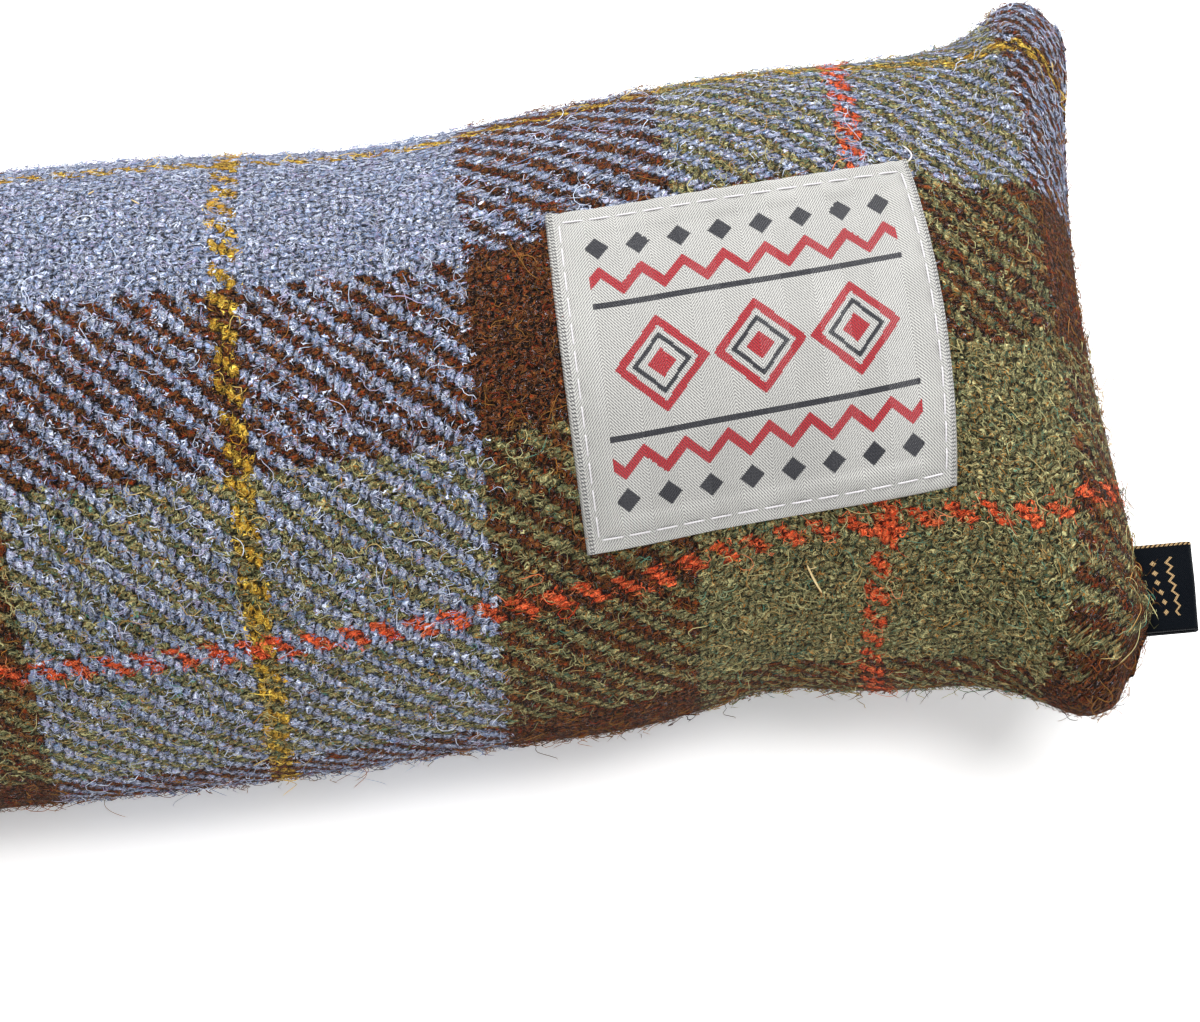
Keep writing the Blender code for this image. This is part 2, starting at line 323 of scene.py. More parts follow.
# %% A fine grid over the cover
COLUMNS = 114
END_RINGS = 26
BODY_RINGS = 300
THREAD_ACROSS = 1.0711
THREAD_ALONG = 1.058
FIRST_CROSSWISE = 117.46
FIRST_LENGTHWISE = 43.6
SEWN_EASE = 2.5
TWIST_SHIFT = -11.1
TWIST_END = 14.0
TWIST_FADE = 36.0
SLACK_FROM = 30
SLACK_OVER = 40
SLACK_ROUND = 1.2
SLACK_ROUND_ON_TOP = 1.5
SLACK_ALONG = 2.2
HANDOVER_FROM = 0.30
HANDOVER_OVER = 0.27

# Where the slack ends round the tube: degrees from the top, and how softly
SLACK_BACK_EDGE = (120, 0.15)
SLACK_FRONT_EDGE = (100, 0.14)
SLACK_TOP_EDGE = (25, 0.2)

end_steps = END_ROUND * np.linspace(0, 1, END_RINGS) ** 1.7
body_steps = np.linspace(END_ROUND, LENGTH - END_ROUND, BODY_RINGS)[1:-1]
ring_distance = np.concatenate([end_steps, body_steps, LENGTH - end_steps[::-1]])
column_angle = np.linspace(-math.pi, math.pi, COLUMNS + 1)
cover_grid = surface(ring_distance[:, None], column_angle[None, :])
print("cover grid", cover_grid.shape)


# %% Lengths of cloth, turned into thread counts
def walked(points, axis):
    """Length of cloth walked from the start of each row or column of a grid, in millimetres."""
    steps = np.linalg.norm(np.diff(points, axis=axis), axis=-1) / MILLIMETRE
    start = np.zeros_like(np.take(steps, [0], axis=axis))
    return np.concatenate([start, np.cumsum(steps, axis=axis)], axis=axis)


def from_one_end(grid, distance):
    """Cloth length from the end seam, eased so that threads past the pillow end run straight round again."""
    along = walked(grid, 0)
    row = np.searchsorted(distance, END_ROUND)
    excess = along[row] - END_ROUND / MILLIMETRE
    eased = 1 - np.exp(-distance / MILLIMETRE / TWIST_FADE)
    return along + (SEWN_EASE - excess) * eased[:, None]


def fades(angle, degrees, width):
    """1 at small angles and 0 at large ones, with half its height at the given angle."""
    return 1 / (1 + np.exp((angle - math.radians(degrees)) / width))


# Past the patch the cloth was pushed a little along and round, most of all over the top
near_end = np.minimum(ring_distance, LENGTH - ring_distance) / MILLIMETRE
ramp = np.clip((near_end - SLACK_FROM) / SLACK_OVER, 0, 1)
ramp = (ramp**2 * (3 - 2 * ramp))[:, None]
seen = fades(-column_angle, *SLACK_BACK_EDGE)[None]
pushed_along = SLACK_ALONG * ramp * seen * fades(column_angle, *SLACK_FRONT_EDGE)[None]
pushed_round = ramp * (SLACK_ROUND + SLACK_ROUND_ON_TOP * seen * fades(column_angle, *SLACK_TOP_EDGE)[None])

from_right = from_one_end(cover_grid, ring_distance)
from_left = from_one_end(cover_grid[::-1], LENGTH - ring_distance[::-1])[::-1]
total = LENGTH / MILLIMETRE + 2 * SEWN_EASE
handover = np.clip((ring_distance - HANDOVER_FROM) / HANDOVER_OVER, 0, 1)[:, None]
along_cloth = from_right * (1 - handover) + (total - from_left) * handover
round_cloth = walked(cover_grid, 1)
round_share = round_cloth / round_cloth[:, -1:] - 0.5
twist = TWIST_SHIFT + TWIST_END * np.exp(-near_end / TWIST_FADE)
crosswise = (FIRST_CROSSWISE + SEWN_EASE - along_cloth - pushed_along) / THREAD_ACROSS
girth = 2 * math.pi * RADIUS / MILLIMETRE
lengthwise = (round_share * girth + twist[:, None] - pushed_round + FIRST_LENGTHWISE) / THREAD_ALONG
print("crosswise threads", int(crosswise.max() - crosswise.min()), "lengthwise", int(girth / THREAD_ALONG))

# %% [markdown]
# ## The check and the twill
# The same order of colours runs both ways, so a blue stripe crossing a brown one gives a half-tone block.
# The order is mirrored about its yellow line and about its orange line, so five bands describe it all. In a
# two-by-two twill every thread passes over two and under two, one step further each row, and that step
# makes the diagonal ribs.

# %% The order of threads and the yarns
HALF_REPEAT = 74
SETT_STARTS = {"yellow": -0.5, "blue": 1.5, "brown": 27.5, "green": 51.5, "orange": 72.5}
YARN_SHADES = ("dark", "body", "second_fleck", "fleck", "light")
YARNS = {
    "yellow": ("#5c3a10", "#b8882a", "#a8761f", "#cda236", "#dcbc50"),
    "blue": ("#3a486c", "#8a99ba", "#6b86ae", "#a398b9", "#c8d0e2"),
    "brown": ("#060302", "#190b06", "#62431a", "#78280f", "#6f4423"),
    "green": ("#191b10", "#605f3c", "#4b7a68", "#9c6829", "#a6a172"),
    "orange": ("#7d1f0f", "#cf4420", "#c03a1a", "#e87a48", "#ee6c40"),
}
SHADE_SHARES = (0.08, 0.36, 0.13, 0.15, 0.28)


def yarn_number(thread):
    """Which yarn a thread is, as its place in YARNS: the distance to the nearest yellow line, counted in
    threads and folded at the orange line, falls in one of five bands."""
    folded = np.abs((thread + HALF_REPEAT) % (2 * HALF_REPEAT) - HALF_REPEAT)
    return np.searchsorted(list(SETT_STARTS.values()), folded, side="right") - 1


def twill_top(cross, length):
    """True where the lengthwise thread lies on top: for two steps of every four along the diagonal."""
    return (np.floor(cross) - np.floor(length)) % 4 < 2


# %% [markdown]
# ## Mesh of the cover
# The grid becomes quads, and at each end a few rows more roll over the seam's edge into the groove between
# the two folded layers. The two layers are then closed face to face deep in that groove, so the skin has no
# hole.

# %% Build the cover
LIP_RINGS = ((-0.0009, 0.05), (-0.0002, 0.22), (0.0003, 0.50), (0.0003, 0.78))
BAKE_BLOCKS = 4
CAP_BAND = (0.955, 0.985)
LIP_ON_MAP = np.array([0.4, 0.8, 1.2, 1.6])


def lip(ring, sign):
    """Rows that roll the seam's edge inwards: each is the seam ring moved outwards and lowered to a share."""
    rows = []
    for out, share in LIP_RINGS:
        row = ring.copy()
        row[:, 0] += sign * out
        row[:, 2] = CENTRE_HEIGHT + (ring[:, 2] - CENTRE_HEIGHT) * share
        rows.append(row)
    return np.array(rows)


def repeat_ends(values):
    """The same values for the lip rows as for the seam ring that they continue."""
    count = len(LIP_RINGS)
    return np.concatenate([values[:1].repeat(count, 0), values, values[-1:].repeat(count, 0)])


rows = np.concatenate([lip(cover_grid[0], 1), cover_grid, lip(cover_grid[-1], -1)[::-1]])
row_count = len(rows)
cover_points = rows[:, :-1].reshape(-1, 3)
row, column = np.meshgrid(np.arange(row_count - 1), np.arange(COLUMNS), indexing="ij")
corner_rows = np.stack([row, row + 1, row + 1, row], -1).reshape(-1, 4)
corner_columns = np.stack([column, column, column + 1, column + 1], -1).reshape(-1, 4)
cover_faces = corner_rows * COLUMNS + corner_columns % COLUMNS

# The caps: each quad joins two upper points to the two below them
upper = np.arange(COLUMNS // 4 + 1, COLUMNS // 4 + COLUMNS // 2)
cap_columns = np.stack([upper, upper + 1, COLUMNS // 2 - upper - 1, COLUMNS // 2 - upper], -1) % COLUMNS
right_cap = cap_columns
left_cap = (row_count - 1) * COLUMNS + cap_columns[:, ::-1]
cover_faces = np.concatenate([cover_faces, right_cap, left_cap])

# The map of threads, and a map that lays the skin out flat in four blocks
threads = np.stack([repeat_ends(crosswise), repeat_ends(lengthwise)], -1)
face_threads = threads[corner_rows, corner_columns]
cap_threads = threads[0, cap_columns]
left_cap_threads = threads[-1, cap_columns[:, ::-1]]
face_threads = np.concatenate([face_threads, cap_threads, left_cap_threads])

cloth_rows = np.concatenate([-LIP_ON_MAP[::-1], along_cloth.mean(1) - along_cloth.mean(1)[0]])
cloth_rows = np.concatenate([cloth_rows, cloth_rows[-1] + LIP_ON_MAP])
flat_rows = (cloth_rows - cloth_rows[0]) / (cloth_rows[-1] - cloth_rows[0]) * BAKE_BLOCKS
block = np.minimum(np.floor(flat_rows[row.reshape(-1)]), BAKE_BLOCKS - 1)[:, None]
flat_u = (np.clip(flat_rows[corner_rows] - block, -0.01, 1.01) + 0.02) / 1.04
flat_v = corner_columns / COLUMNS * 0.94 + 0.005
corner_u = (block % 2) / 2 + flat_u / 2
corner_v = (block // 2) / 2 + flat_v / 2
cap_share = (np.stack([upper, upper + 1, upper + 1, upper], -1) - upper[0]) / (len(upper) + 1)
cap_v = np.broadcast_to(np.array([CAP_BAND[0], CAP_BAND[0], CAP_BAND[1], CAP_BAND[1]]) / 2, cap_share.shape)
cap_maps = np.stack([cap_share * 0.48 + 0.01, cap_v], -1)
left_maps = np.stack([cap_share * 0.48 + 0.51, cap_v], -1)
face_flat = np.concatenate([np.stack([corner_u, corner_v], -1), cap_maps, left_maps])

# %% [markdown]
# ## Wool tweed
# Tweed is woven from carded woollen yarn: the fibres lie criss-cross, each yarn is dyed from several wools,
# and the finished cloth is milled until it felts a little. So a yarn is a soft, thick rope with flecks of
# other colours, its edges are blurred by fibres that cross to the next yarn, and the holes between fibres
# are nearly black. There is no gloss, only the pale sheen of hairs. One thread is 1.06 mm wide. A node
# group works out which thread lies on top at a place of the cloth and what colour it has, and the material
# asks it four times: once for the deep ground, and once for each of three layers of short fibres that are
# laid over it.

# %% The yarn on top, as a node group
def shade_stops():
    """Stops of one long ramp: the yarns one after the other, and in each its shades, as wide as their
    shares."""
    begins = np.concatenate([[0], np.cumsum(SHADE_SHARES)[:-1]])
    count = len(SETT_STARTS)
    return [
        ((place + begin) / count, code)
        for place, yarn in enumerate(SETT_STARTS)
        for begin, code in zip(begins, YARNS[yarn])
    ]


def float_height(tree, over, under, shift):
    """Height of one set of threads: a wave of four threads along it, plus its round section across."""
    number = add(tree, MATH, {0: under}, operation="FLOOR")
    inside = add(tree, MATH, {0: under}, operation="FRACT")
    behind = add(tree, MATH, {0: over, 1: number}, operation="SUBTRACT")
    behind = add(tree, MATH, {0: behind, 1: shift}, operation="ADD")
    place = add(tree, MATH, {0: behind, 1: 4}, operation="FLOORED_MODULO")
    turn = add(tree, MATH, {0: place, 1: math.pi / 2, 2: -math.pi / 2}, operation="MULTIPLY_ADD")
    wave = add(tree, MATH, {0: turn}, operation="COSINE")
    half_turn = add(tree, MATH, {0: inside, 1: math.pi}, operation="MULTIPLY")
    section = add(tree, MATH, {0: half_turn}, operation="SINE")
    return number, add(tree, MATH, {0: wave, 1: section}, operation="ADD")


def yarn_group():
    """For a place counted in threads: the height of the cloth, and one shade of the yarn on top. Pick, from
    0 to 1, chooses the shade."""
    group = bpy.data.node_groups.new("yarn_on_top", "ShaderNodeTree")
    group.interface.new_socket("Place", in_out="INPUT", socket_type="NodeSocketVector")
    group.interface.new_socket("Pick", in_out="INPUT", socket_type="NodeSocketFloat")
    group.interface.new_socket("Shade", in_out="OUTPUT", socket_type="NodeSocketColor")
    group.interface.new_socket("Height", in_out="OUTPUT", socket_type="NodeSocketFloat")
    given = add(group, "NodeGroupInput")
    split = add(group, "ShaderNodeSeparateXYZ", {0: given.outputs["Place"]})
    length_id, length_height = float_height(group, split.outputs[0], split.outputs[1], 0)
    cross_id, cross_height = float_height(group, split.outputs[1], split.outputs[0], 3)
    on_top = add(group, MATH, {0: length_height, 1: cross_height}, operation="GREATER_THAN")
    height = add(group, MATH, {0: length_height, 1: cross_height}, operation="MAXIMUM")
    number = add(group, MIX, {0: on_top, 2: cross_id, 3: length_id})
    folded = number
    for step, value in (("ADD", 1), ("FLOORED_MODULO", 2), ("SUBTRACT", 1), ("ABSOLUTE", 0)):
        folded = add(group, MATH, {0: folded, 1: value * HALF_REPEAT}, operation=step)
    index = add(group, MATH, {0: folded, 1: SETT_STARTS["blue"]}, operation="GREATER_THAN")
    for yarn in ("brown", "green", "orange"):
        past = add(group, MATH, {0: folded, 1: SETT_STARTS[yarn]}, operation="GREATER_THAN")
        index = add(group, MATH, {0: index, 1: past}, operation="ADD")
    pick = add(group, STEP, {0: given.outputs["Pick"], 1: 0.0, 2: 1.0, 3: 0.002, 4: 0.998})
    lookup = add(group, MATH, {0: index, 1: pick}, operation="ADD")
    lookup = add(group, MATH, {0: lookup, 1: len(SETT_STARTS)}, operation="DIVIDE")
    shade = add(group, "ShaderNodeValToRGB", {0: lookup})
    bands(shade, shade_stops())
    add(group, "NodeGroupOutput", {"Shade": shade, "Height": height})
    return group


# %% Layers of short fibres
def fibre_layer(tree, place, standing, seed, cells, stretch, cover):
    """One layer of short fibres. Random cells split the cloth, each is turned its own way and hatched with
    noise that is stretched along one direction, and the hatching above a level is fibre. Fibres are fewer
    between the floats, where standing is 0. Cells is how many fit in a thread, stretch how the noise is
    squeezed along and across, cover the level. Returns the mask, the profile across a fibre, its cell's
    middle and a number to pick a shade with."""
    shifted = add(tree, VECTOR, {0: place, 1: (seed, 0.7 * seed, 0)}, operation="ADD")
    cell = add(tree, "ShaderNodeTexVoronoi", {"Vector": shifted, "Scale": cells}, voronoi_dimensions="2D")
    local = add(tree, VECTOR, {0: shifted, 1: cell.outputs["Position"]}, operation="SUBTRACT")
    toss = add(tree, "ShaderNodeSeparateXYZ", {0: cell.outputs["Color"]})
    angle = add(tree, MATH, {0: toss.outputs[0], 1: 2 * math.pi}, operation="MULTIPLY")
    turned = add(tree, "ShaderNodeVectorRotate", {"Vector": local, "Angle": angle}, rotation_type="Z_AXIS")
    moved = add(tree, VECTOR, {0: cell.outputs["Color"], 1: (37, 53, 0)}, operation="MULTIPLY")
    hatch_place = add(tree, VECTOR, {0: turned, 1: (*stretch, 1), 2: moved}, operation="MULTIPLY_ADD")
    hatch = add(tree, NOISE, {"Vector": hatch_place, "Scale": 1, "Detail": 1}, noise_dimensions="2D")
    dense = add(tree, MATH, {0: standing, 1: THINNER_BETWEEN, 2: hatch}, operation="MULTIPLY_ADD")
    level = cover + THINNER_BETWEEN
    mask = add(tree, STEP, {0: dense, 1: level - 0.01, 2: level + 0.03, 3: 0.0, 4: 1.0})
    profile = add(tree, STEP, {0: dense, 1: level - 0.04, 2: level + 0.14, 3: 0.0, 4: 1.0})
    home = add(tree, VECTOR, {0: cell.outputs["Position"], 1: (seed, 0.7 * seed, 0)}, operation="SUBTRACT")
    other = add(tree, "ShaderNodeSeparateXYZ", {0: hatch.outputs[1]})
    pick = add(tree, MATH, {0: other.outputs[1], 1: 2.3, 2: toss.outputs[2]}, operation="MULTIPLY_ADD")
    pick = add(tree, MATH, {0: pick}, operation="FRACT")
    return mask, profile, home, pick


# %% Material of the cover
RELIEF = 0.00045
DEEP = 0.05
WANDER = (
    # noise scale, noise detail, size in threads: slow drift, wobble from one thread to the next, curl
    (0.16, 1, 1.3),
    (0.95, 2, 0.7),
    (1.7, 1, 0.9),
)
LAYERS = (
    # seed, cells in a thread, stretch along and across, cover level, painted light level (lower layers
    # darker, as painted shade), follows its own cell, shade
    (3.1, 1.5, (0.9, 4.0), 0.43, 0.72, 0.2, 1.4),
    (17.7, 1.2, (0.7, 4.3), 0.50, 1.0, 0.5, 1.0),
    (41.3, 0.7, (0.45, 4.8), 0.57, 1.35, 0.95, 0.4),
)
THINNER_BETWEEN = 0.08


def tweed_material():
    """Milled wool: rough and without gloss, with the faintest sheen."""
    finish = {"Roughness": 0.95, "Specular IOR Level": 0.08, "Sheen Weight": 0.02, "Sheen Roughness": 0.5}
    made, tree, shader = new_material("wool_tweed_two_by_two_twill", finish)
    group = yarn_group()
    place = add(tree, "ShaderNodeUVMap", uv_map="threads")

    # Threads wander a little, each way on top of the last
    wandered = [place]
    for scale, detail, size in WANDER:
        noise = add(tree, NOISE, {"Vector": place, "Scale": scale, "Detail": detail}, noise_dimensions="2D")
        way = add(tree, VECTOR, {0: noise.outputs[1], 1: (0.5, 0.5, 0.5)}, operation="SUBTRACT")
        moved = add(tree, VECTOR, {0: way, 1: (size, size, 0), 2: wandered[-1]}, operation="MULTIPLY_ADD")
        wandered.append(moved)
    moved, curled = wandered[2:]

    # The deep ground, in shade
    spot = add(tree, NOISE, {"Vector": place, "Scale": 1.4, "Detail": 2}, noise_dimensions="2D")
    pick = add(tree, MATH, {0: spot, 1: 3.1}, operation="MULTIPLY")
    pick = add(tree, MATH, {0: pick}, operation="FRACT")
    ground = add(tree, "ShaderNodeGroup", node_tree=group)
    tree.links.new(moved.outputs[0], ground.inputs["Place"])
    tree.links.new(pick.outputs[0], ground.inputs["Pick"])
    weave_height = ground.outputs["Height"]
    rise = {0: weave_height, 1: 0.55, 2: 1.5, 3: 0.0, 4: 1.0}
    standing = add(tree, STEP, rise, interpolation_type="SMOOTHSTEP")
    colour = add(tree, VECTOR, {0: ground.outputs["Shade"], "Scale": DEEP}, operation="SCALE").outputs[0]
    height = add(tree, MATH, {0: weave_height, 1: 0.55}, operation="MULTIPLY")

    # Each layer lies over the last. The lower ones keep to their yarn and lean to its dark shades, a painted
    # shade under the upper fibres; the upper stray
    for seed, cells, stretch, cover, painted_light_level, stray, shade in LAYERS:
        mask, profile, home, pick = fibre_layer(tree, curled, standing, seed, cells, stretch, cover)
        asked = add(tree, MIX, {0: stray, 4: moved, 5: home}, data_type="VECTOR")
        pick = add(tree, MATH, {0: pick, 1: shade}, operation="POWER")
        yarn = add(tree, "ShaderNodeGroup", node_tree=group)
        tree.links.new(asked.outputs[1], yarn.inputs["Place"])
        tree.links.new(pick.outputs[0], yarn.inputs["Pick"])
        # Painted shade and light: fibres darken between the floats, where standing is low, and across each
        # fibre the colour goes from shaded sides to a lit middle, scaled by the layer's painted light level
        edge = add(tree, STEP, {0: standing, 1: 0.0, 2: 1.0, 3: 0.2 + 0.6 * stray, 4: 1.0})
        fibre_painted_light = add(tree, STEP, {0: profile, 1: 0.0, 2: 1.0, 3: 0.3 * painted_light_level, 4: 1.25 * painted_light_level})
        tone = add(tree, MATH, {0: edge, 1: fibre_painted_light}, operation="MULTIPLY")
        lit = add(tree, VECTOR, {0: yarn.outputs["Shade"], "Scale": tone}, operation="SCALE")
        colour = add(tree, MIX, {0: mask, 6: colour, 7: lit}, data_type="RGBA").outputs[2]
        height = add(tree, MATH, {0: profile, 1: 0.5, 2: height}, operation="MULTIPLY_ADD")

    coat(tree, shader, colour, height, RELIEF, 1.0)
    return made


cover = mesh_piece(
    "tweed_cover", cover_points, cover_faces, tweed_material(), {"threads": face_threads, "OFBake": face_flat}
)
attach(cover, "root")
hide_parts("tweed_tube")

# %% [markdown]
# ## The shape of the patch
# A small label of woven satin is turned under along its edges and sewn to the cloth with a running stitch.
# It is worked out in the flat, in shares across and down, then laid on the cover at the right length of
# cloth round, so it curves with it. The turned hem makes the border thicker, and the stitches draw it in.

# %% Sizes of the patch, in metres
PATCH_CORNERS = {
    "top_left": (0.0735, -0.0054),
    "top_right": (0.0254, -0.0110),
    "bottom_right": (0.0256, 0.0344),
    "bottom_left": (0.0732, 0.0397),
}
PATCH_RIGHT_BOW = -0.0022
PATCH_TOP_BOW = 0.0034
PATCH_BOTTOM_BOW = 0.0021
PATCH_SIZE = (48.3, 45.2)
PATCH_GAP = 0.0002
PATCH_CLOTH = 0.00042
HEM_EXTRA = 0.00034
HEM_WIDTH = 4.2
STITCH_INSET = 2.0
SELVEDGE_INSET = 1.7
STITCH_PITCH = 3.5
STITCH_DIP = 0.00028
STITCH_DIP_WIDTH = 0.45
HEM_SOFTNESS = 0.22
EDGE_PUCKER = 0.00007
EDGE_PUCKER_REACH = 2.4
PATCH_SLACK = 0.00016
PATCH_EDGE_ROUND = 0.55
PATCH_EDGE_HEIGHT = 0.00006
PATCH_COLUMNS = 130
PATCH_ROWS = 122


# %% Places on the patch
def patch_place(across, down):
    """Distance from the right seam and length round for shares across and down the patch, edges bowed."""
    top_left, top_right, bottom_right, bottom_left = (np.array(corner) for corner in PATCH_CORNERS.values())
    across, down = across[..., None], down[..., None]
    top = top_left * (1 - across) + top_right * across
    bottom = bottom_left * (1 - across) + bottom_right * across
    place = top * (1 - down) + bottom * down
    swell_across = 4 * across * (1 - across)
    swell_down = 4 * down * (1 - down)
    place[..., :1] += PATCH_RIGHT_BOW * across * swell_down
    place[..., 1:] += swell_across * (PATCH_TOP_BOW * (1 - down) + PATCH_BOTTOM_BOW * down)
    return place[..., 0], place[..., 1]


def angle_after(distance, length_round):
    """The angle that lies a length of cloth round from the top, by Newton steps on the walked length."""
    shares = np.linspace(0, 1, 33)
    angle = length_round / RADIUS
    for _ in range(4):
        ring = surface(distance[..., None], angle[..., None] * shares)
        arc = np.sign(angle) * np.linalg.norm(np.diff(ring, axis=-2), axis=-1).sum(-1)
        step = surface(distance, angle + SMALL) - surface(distance, angle - SMALL)
        speed = np.linalg.norm(step, axis=-1) / (2 * SMALL)
        angle = angle + (length_round - arc) / speed
    return angle


def patch_height(across, down):
    """Height of the satin's face over the cloth, in metres: one layer, a second one under the hem, a dip at
    the stitches, slight puckers between them, and a round outer edge. Edges are measured in millimetres."""
    wide, high = PATCH_SIZE
    side = np.minimum(across, 1 - across) * wide
    end = np.minimum(down, 1 - down) * high
    edge = np.minimum(side, end)
    hem = 1 / (1 + np.exp((edge - HEM_WIDTH) / HEM_SOFTNESS))
    dip_side = np.exp(-(((side - SELVEDGE_INSET) / STITCH_DIP_WIDTH) ** 2))
    dip_end = np.exp(-(((end - STITCH_INSET) / STITCH_DIP_WIDTH) ** 2))
    pull_end = 0.65 + 0.35 * np.cos(2 * math.pi * across * wide / STITCH_PITCH)
    pull_side = 0.65 + 0.35 * np.cos(2 * math.pi * down * high / STITCH_PITCH)
    dip = STITCH_DIP * np.maximum(dip_side * pull_side, dip_end * pull_end)
    pucker = EDGE_PUCKER * np.sin(2 * math.pi * across * wide / STITCH_PITCH + 0.6)
    pucker = pucker * np.exp(-end / EDGE_PUCKER_REACH)
    slack = PATCH_SLACK * np.sin(3.1 * across * 2 + 4.2 * down) * np.sin(7.4 * down - 2.0 * across + 0.7)
    round_edge = np.sqrt(np.clip(1 - (1 - np.clip(edge / PATCH_EDGE_ROUND, 0, 1)) ** 2, 0, 1))
    rise = PATCH_CLOTH + HEM_EXTRA * hem - dip + pucker + slack * (1 - hem)
    return PATCH_EDGE_HEIGHT + rise * round_edge


def on_patch(across, down, lift):
    """Points above the cover at shares across and down, raised by a height given in metres."""
    distance, length_round = patch_place(across, down)
    angle = angle_after(distance, length_round)
    base = surface(distance, angle)
    return base + outward(distance, angle) * (PATCH_GAP + lift)[..., None]


def grid_quads(rows, columns):
    """Quads between neighbouring points of a grid stored row by row."""
    row, column = np.meshgrid(np.arange(rows - 1), np.arange(columns - 1), indexing="ij")
    first = (row * columns + column).reshape(-1)
    return np.stack([first, first + columns, first + columns + 1, first + 1], -1)


def rim_of(rows, columns):
    """Numbers of the points round a grid's edge, in order: along the top, down, back and up."""
    top = np.arange(columns)
    right = np.arange(1, rows) * columns + columns - 1
    bottom = (rows - 1) * columns + np.arange(columns - 2, -1, -1)
    left = np.arange(rows - 2, 0, -1) * columns
    return np.concatenate([top, right, bottom, left])


# %% Build the patch
across, down = np.meshgrid(np.linspace(0, 1, PATCH_COLUMNS), np.linspace(0, 1, PATCH_ROWS))
face_points = on_patch(across, down, patch_height(across, down)).reshape(-1, 3)
back_points = on_patch(across, down, np.zeros_like(across)).reshape(-1, 3)
patch_count = PATCH_ROWS * PATCH_COLUMNS
front = grid_quads(PATCH_ROWS, PATCH_COLUMNS)
rim = rim_of(PATCH_ROWS, PATCH_COLUMNS)
after = np.roll(rim, -1)
walls = np.stack([rim, after, patch_count + after, patch_count + rim], -1)
patch_faces = np.concatenate([front, patch_count + front[:, ::-1], walls])
flat_place = np.stack([(across - 0.5) * PATCH_SIZE[0], (down - 0.5) * PATCH_SIZE[1]], -1).reshape(-1, 2)
patch_map = np.concatenate([flat_place, flat_place])[patch_faces]
print("patch corners stand", np.round(face_points[[0, -1], 2] / MILLIMETRE, 1), "mm above the floor")

# %% [markdown]
# ## Woven satin label
# The label is polyester satin in a herringbone: long, shiny floats that lean one way in one column and the
# other way in the next, so the columns catch the light in turn. Its figures are woven in with red and navy
# threads, which is why their edges go in tiny steps. Here they are a plain folk ornament of lozenges and
# zigzags. The thread is about 0.19 mm, the finest that still shows at this distance.

# %% Material of the patch
SATIN_THREAD = 0.19
RIB_PITCH = 0.44
HERRINGBONE = 7.7
WOVEN_RELIEF = 0.00006
# Each thread has a lit and a shaded tone, and its colour is mixed between them: a painted highlight and a
# painted shade
SATIN = {"light": "#b8b8b2", "shade": "#5d5a5e", "red": "#a20a1b", "red_painted_shade": "#5a0410"}
INK = {"navy": "#06060c", "navy_painted_highlight": "#151722"}
ORNAMENT_HALF_WIDTH = 19.5
MIDDLE_HALF_WIDTH = 18.2

# The ornament in millimetres. Rows lie that far above and below the middle
ZIGZAG = {"row": 10.2, "half_pitch": 2.6, "half_thickness": 0.80}
LINE = {"row": 8.4, "half_thickness": 0.34}
LOZENGES = {"row": 16.2, "half_pitch": 2.6, "reach": 1.55}
MIDDLE = {"half_pitch": 6.07, "slant": 1.06, "heart": 1.9}
MIDDLE_RINGS = {"red": (5.5, 0.72), "navy": (3.5, 0.38)}
LADDER = {"inset": 0.62, "half_width": 0.26, "half_pitch": 0.25, "half_gap": 0.10, "colour": "#1c1a20"}


def gap_to(tree, place, line):
    """Distance between a place and a line: their difference without its sign."""
    off = add(tree, MATH, {0: place, 1: line}, operation="SUBTRACT")
    return add(tree, MATH, {0: off}, operation="ABSOLUTE")


def thread_tone(tree, painted_light_level, shade, light):
    """Colour of a thread, from its shaded to its lit side."""
    return add(tree, MIX, {0: painted_light_level, 6: linear(shade), 7: linear(light)}, data_type="RGBA").outputs[2]


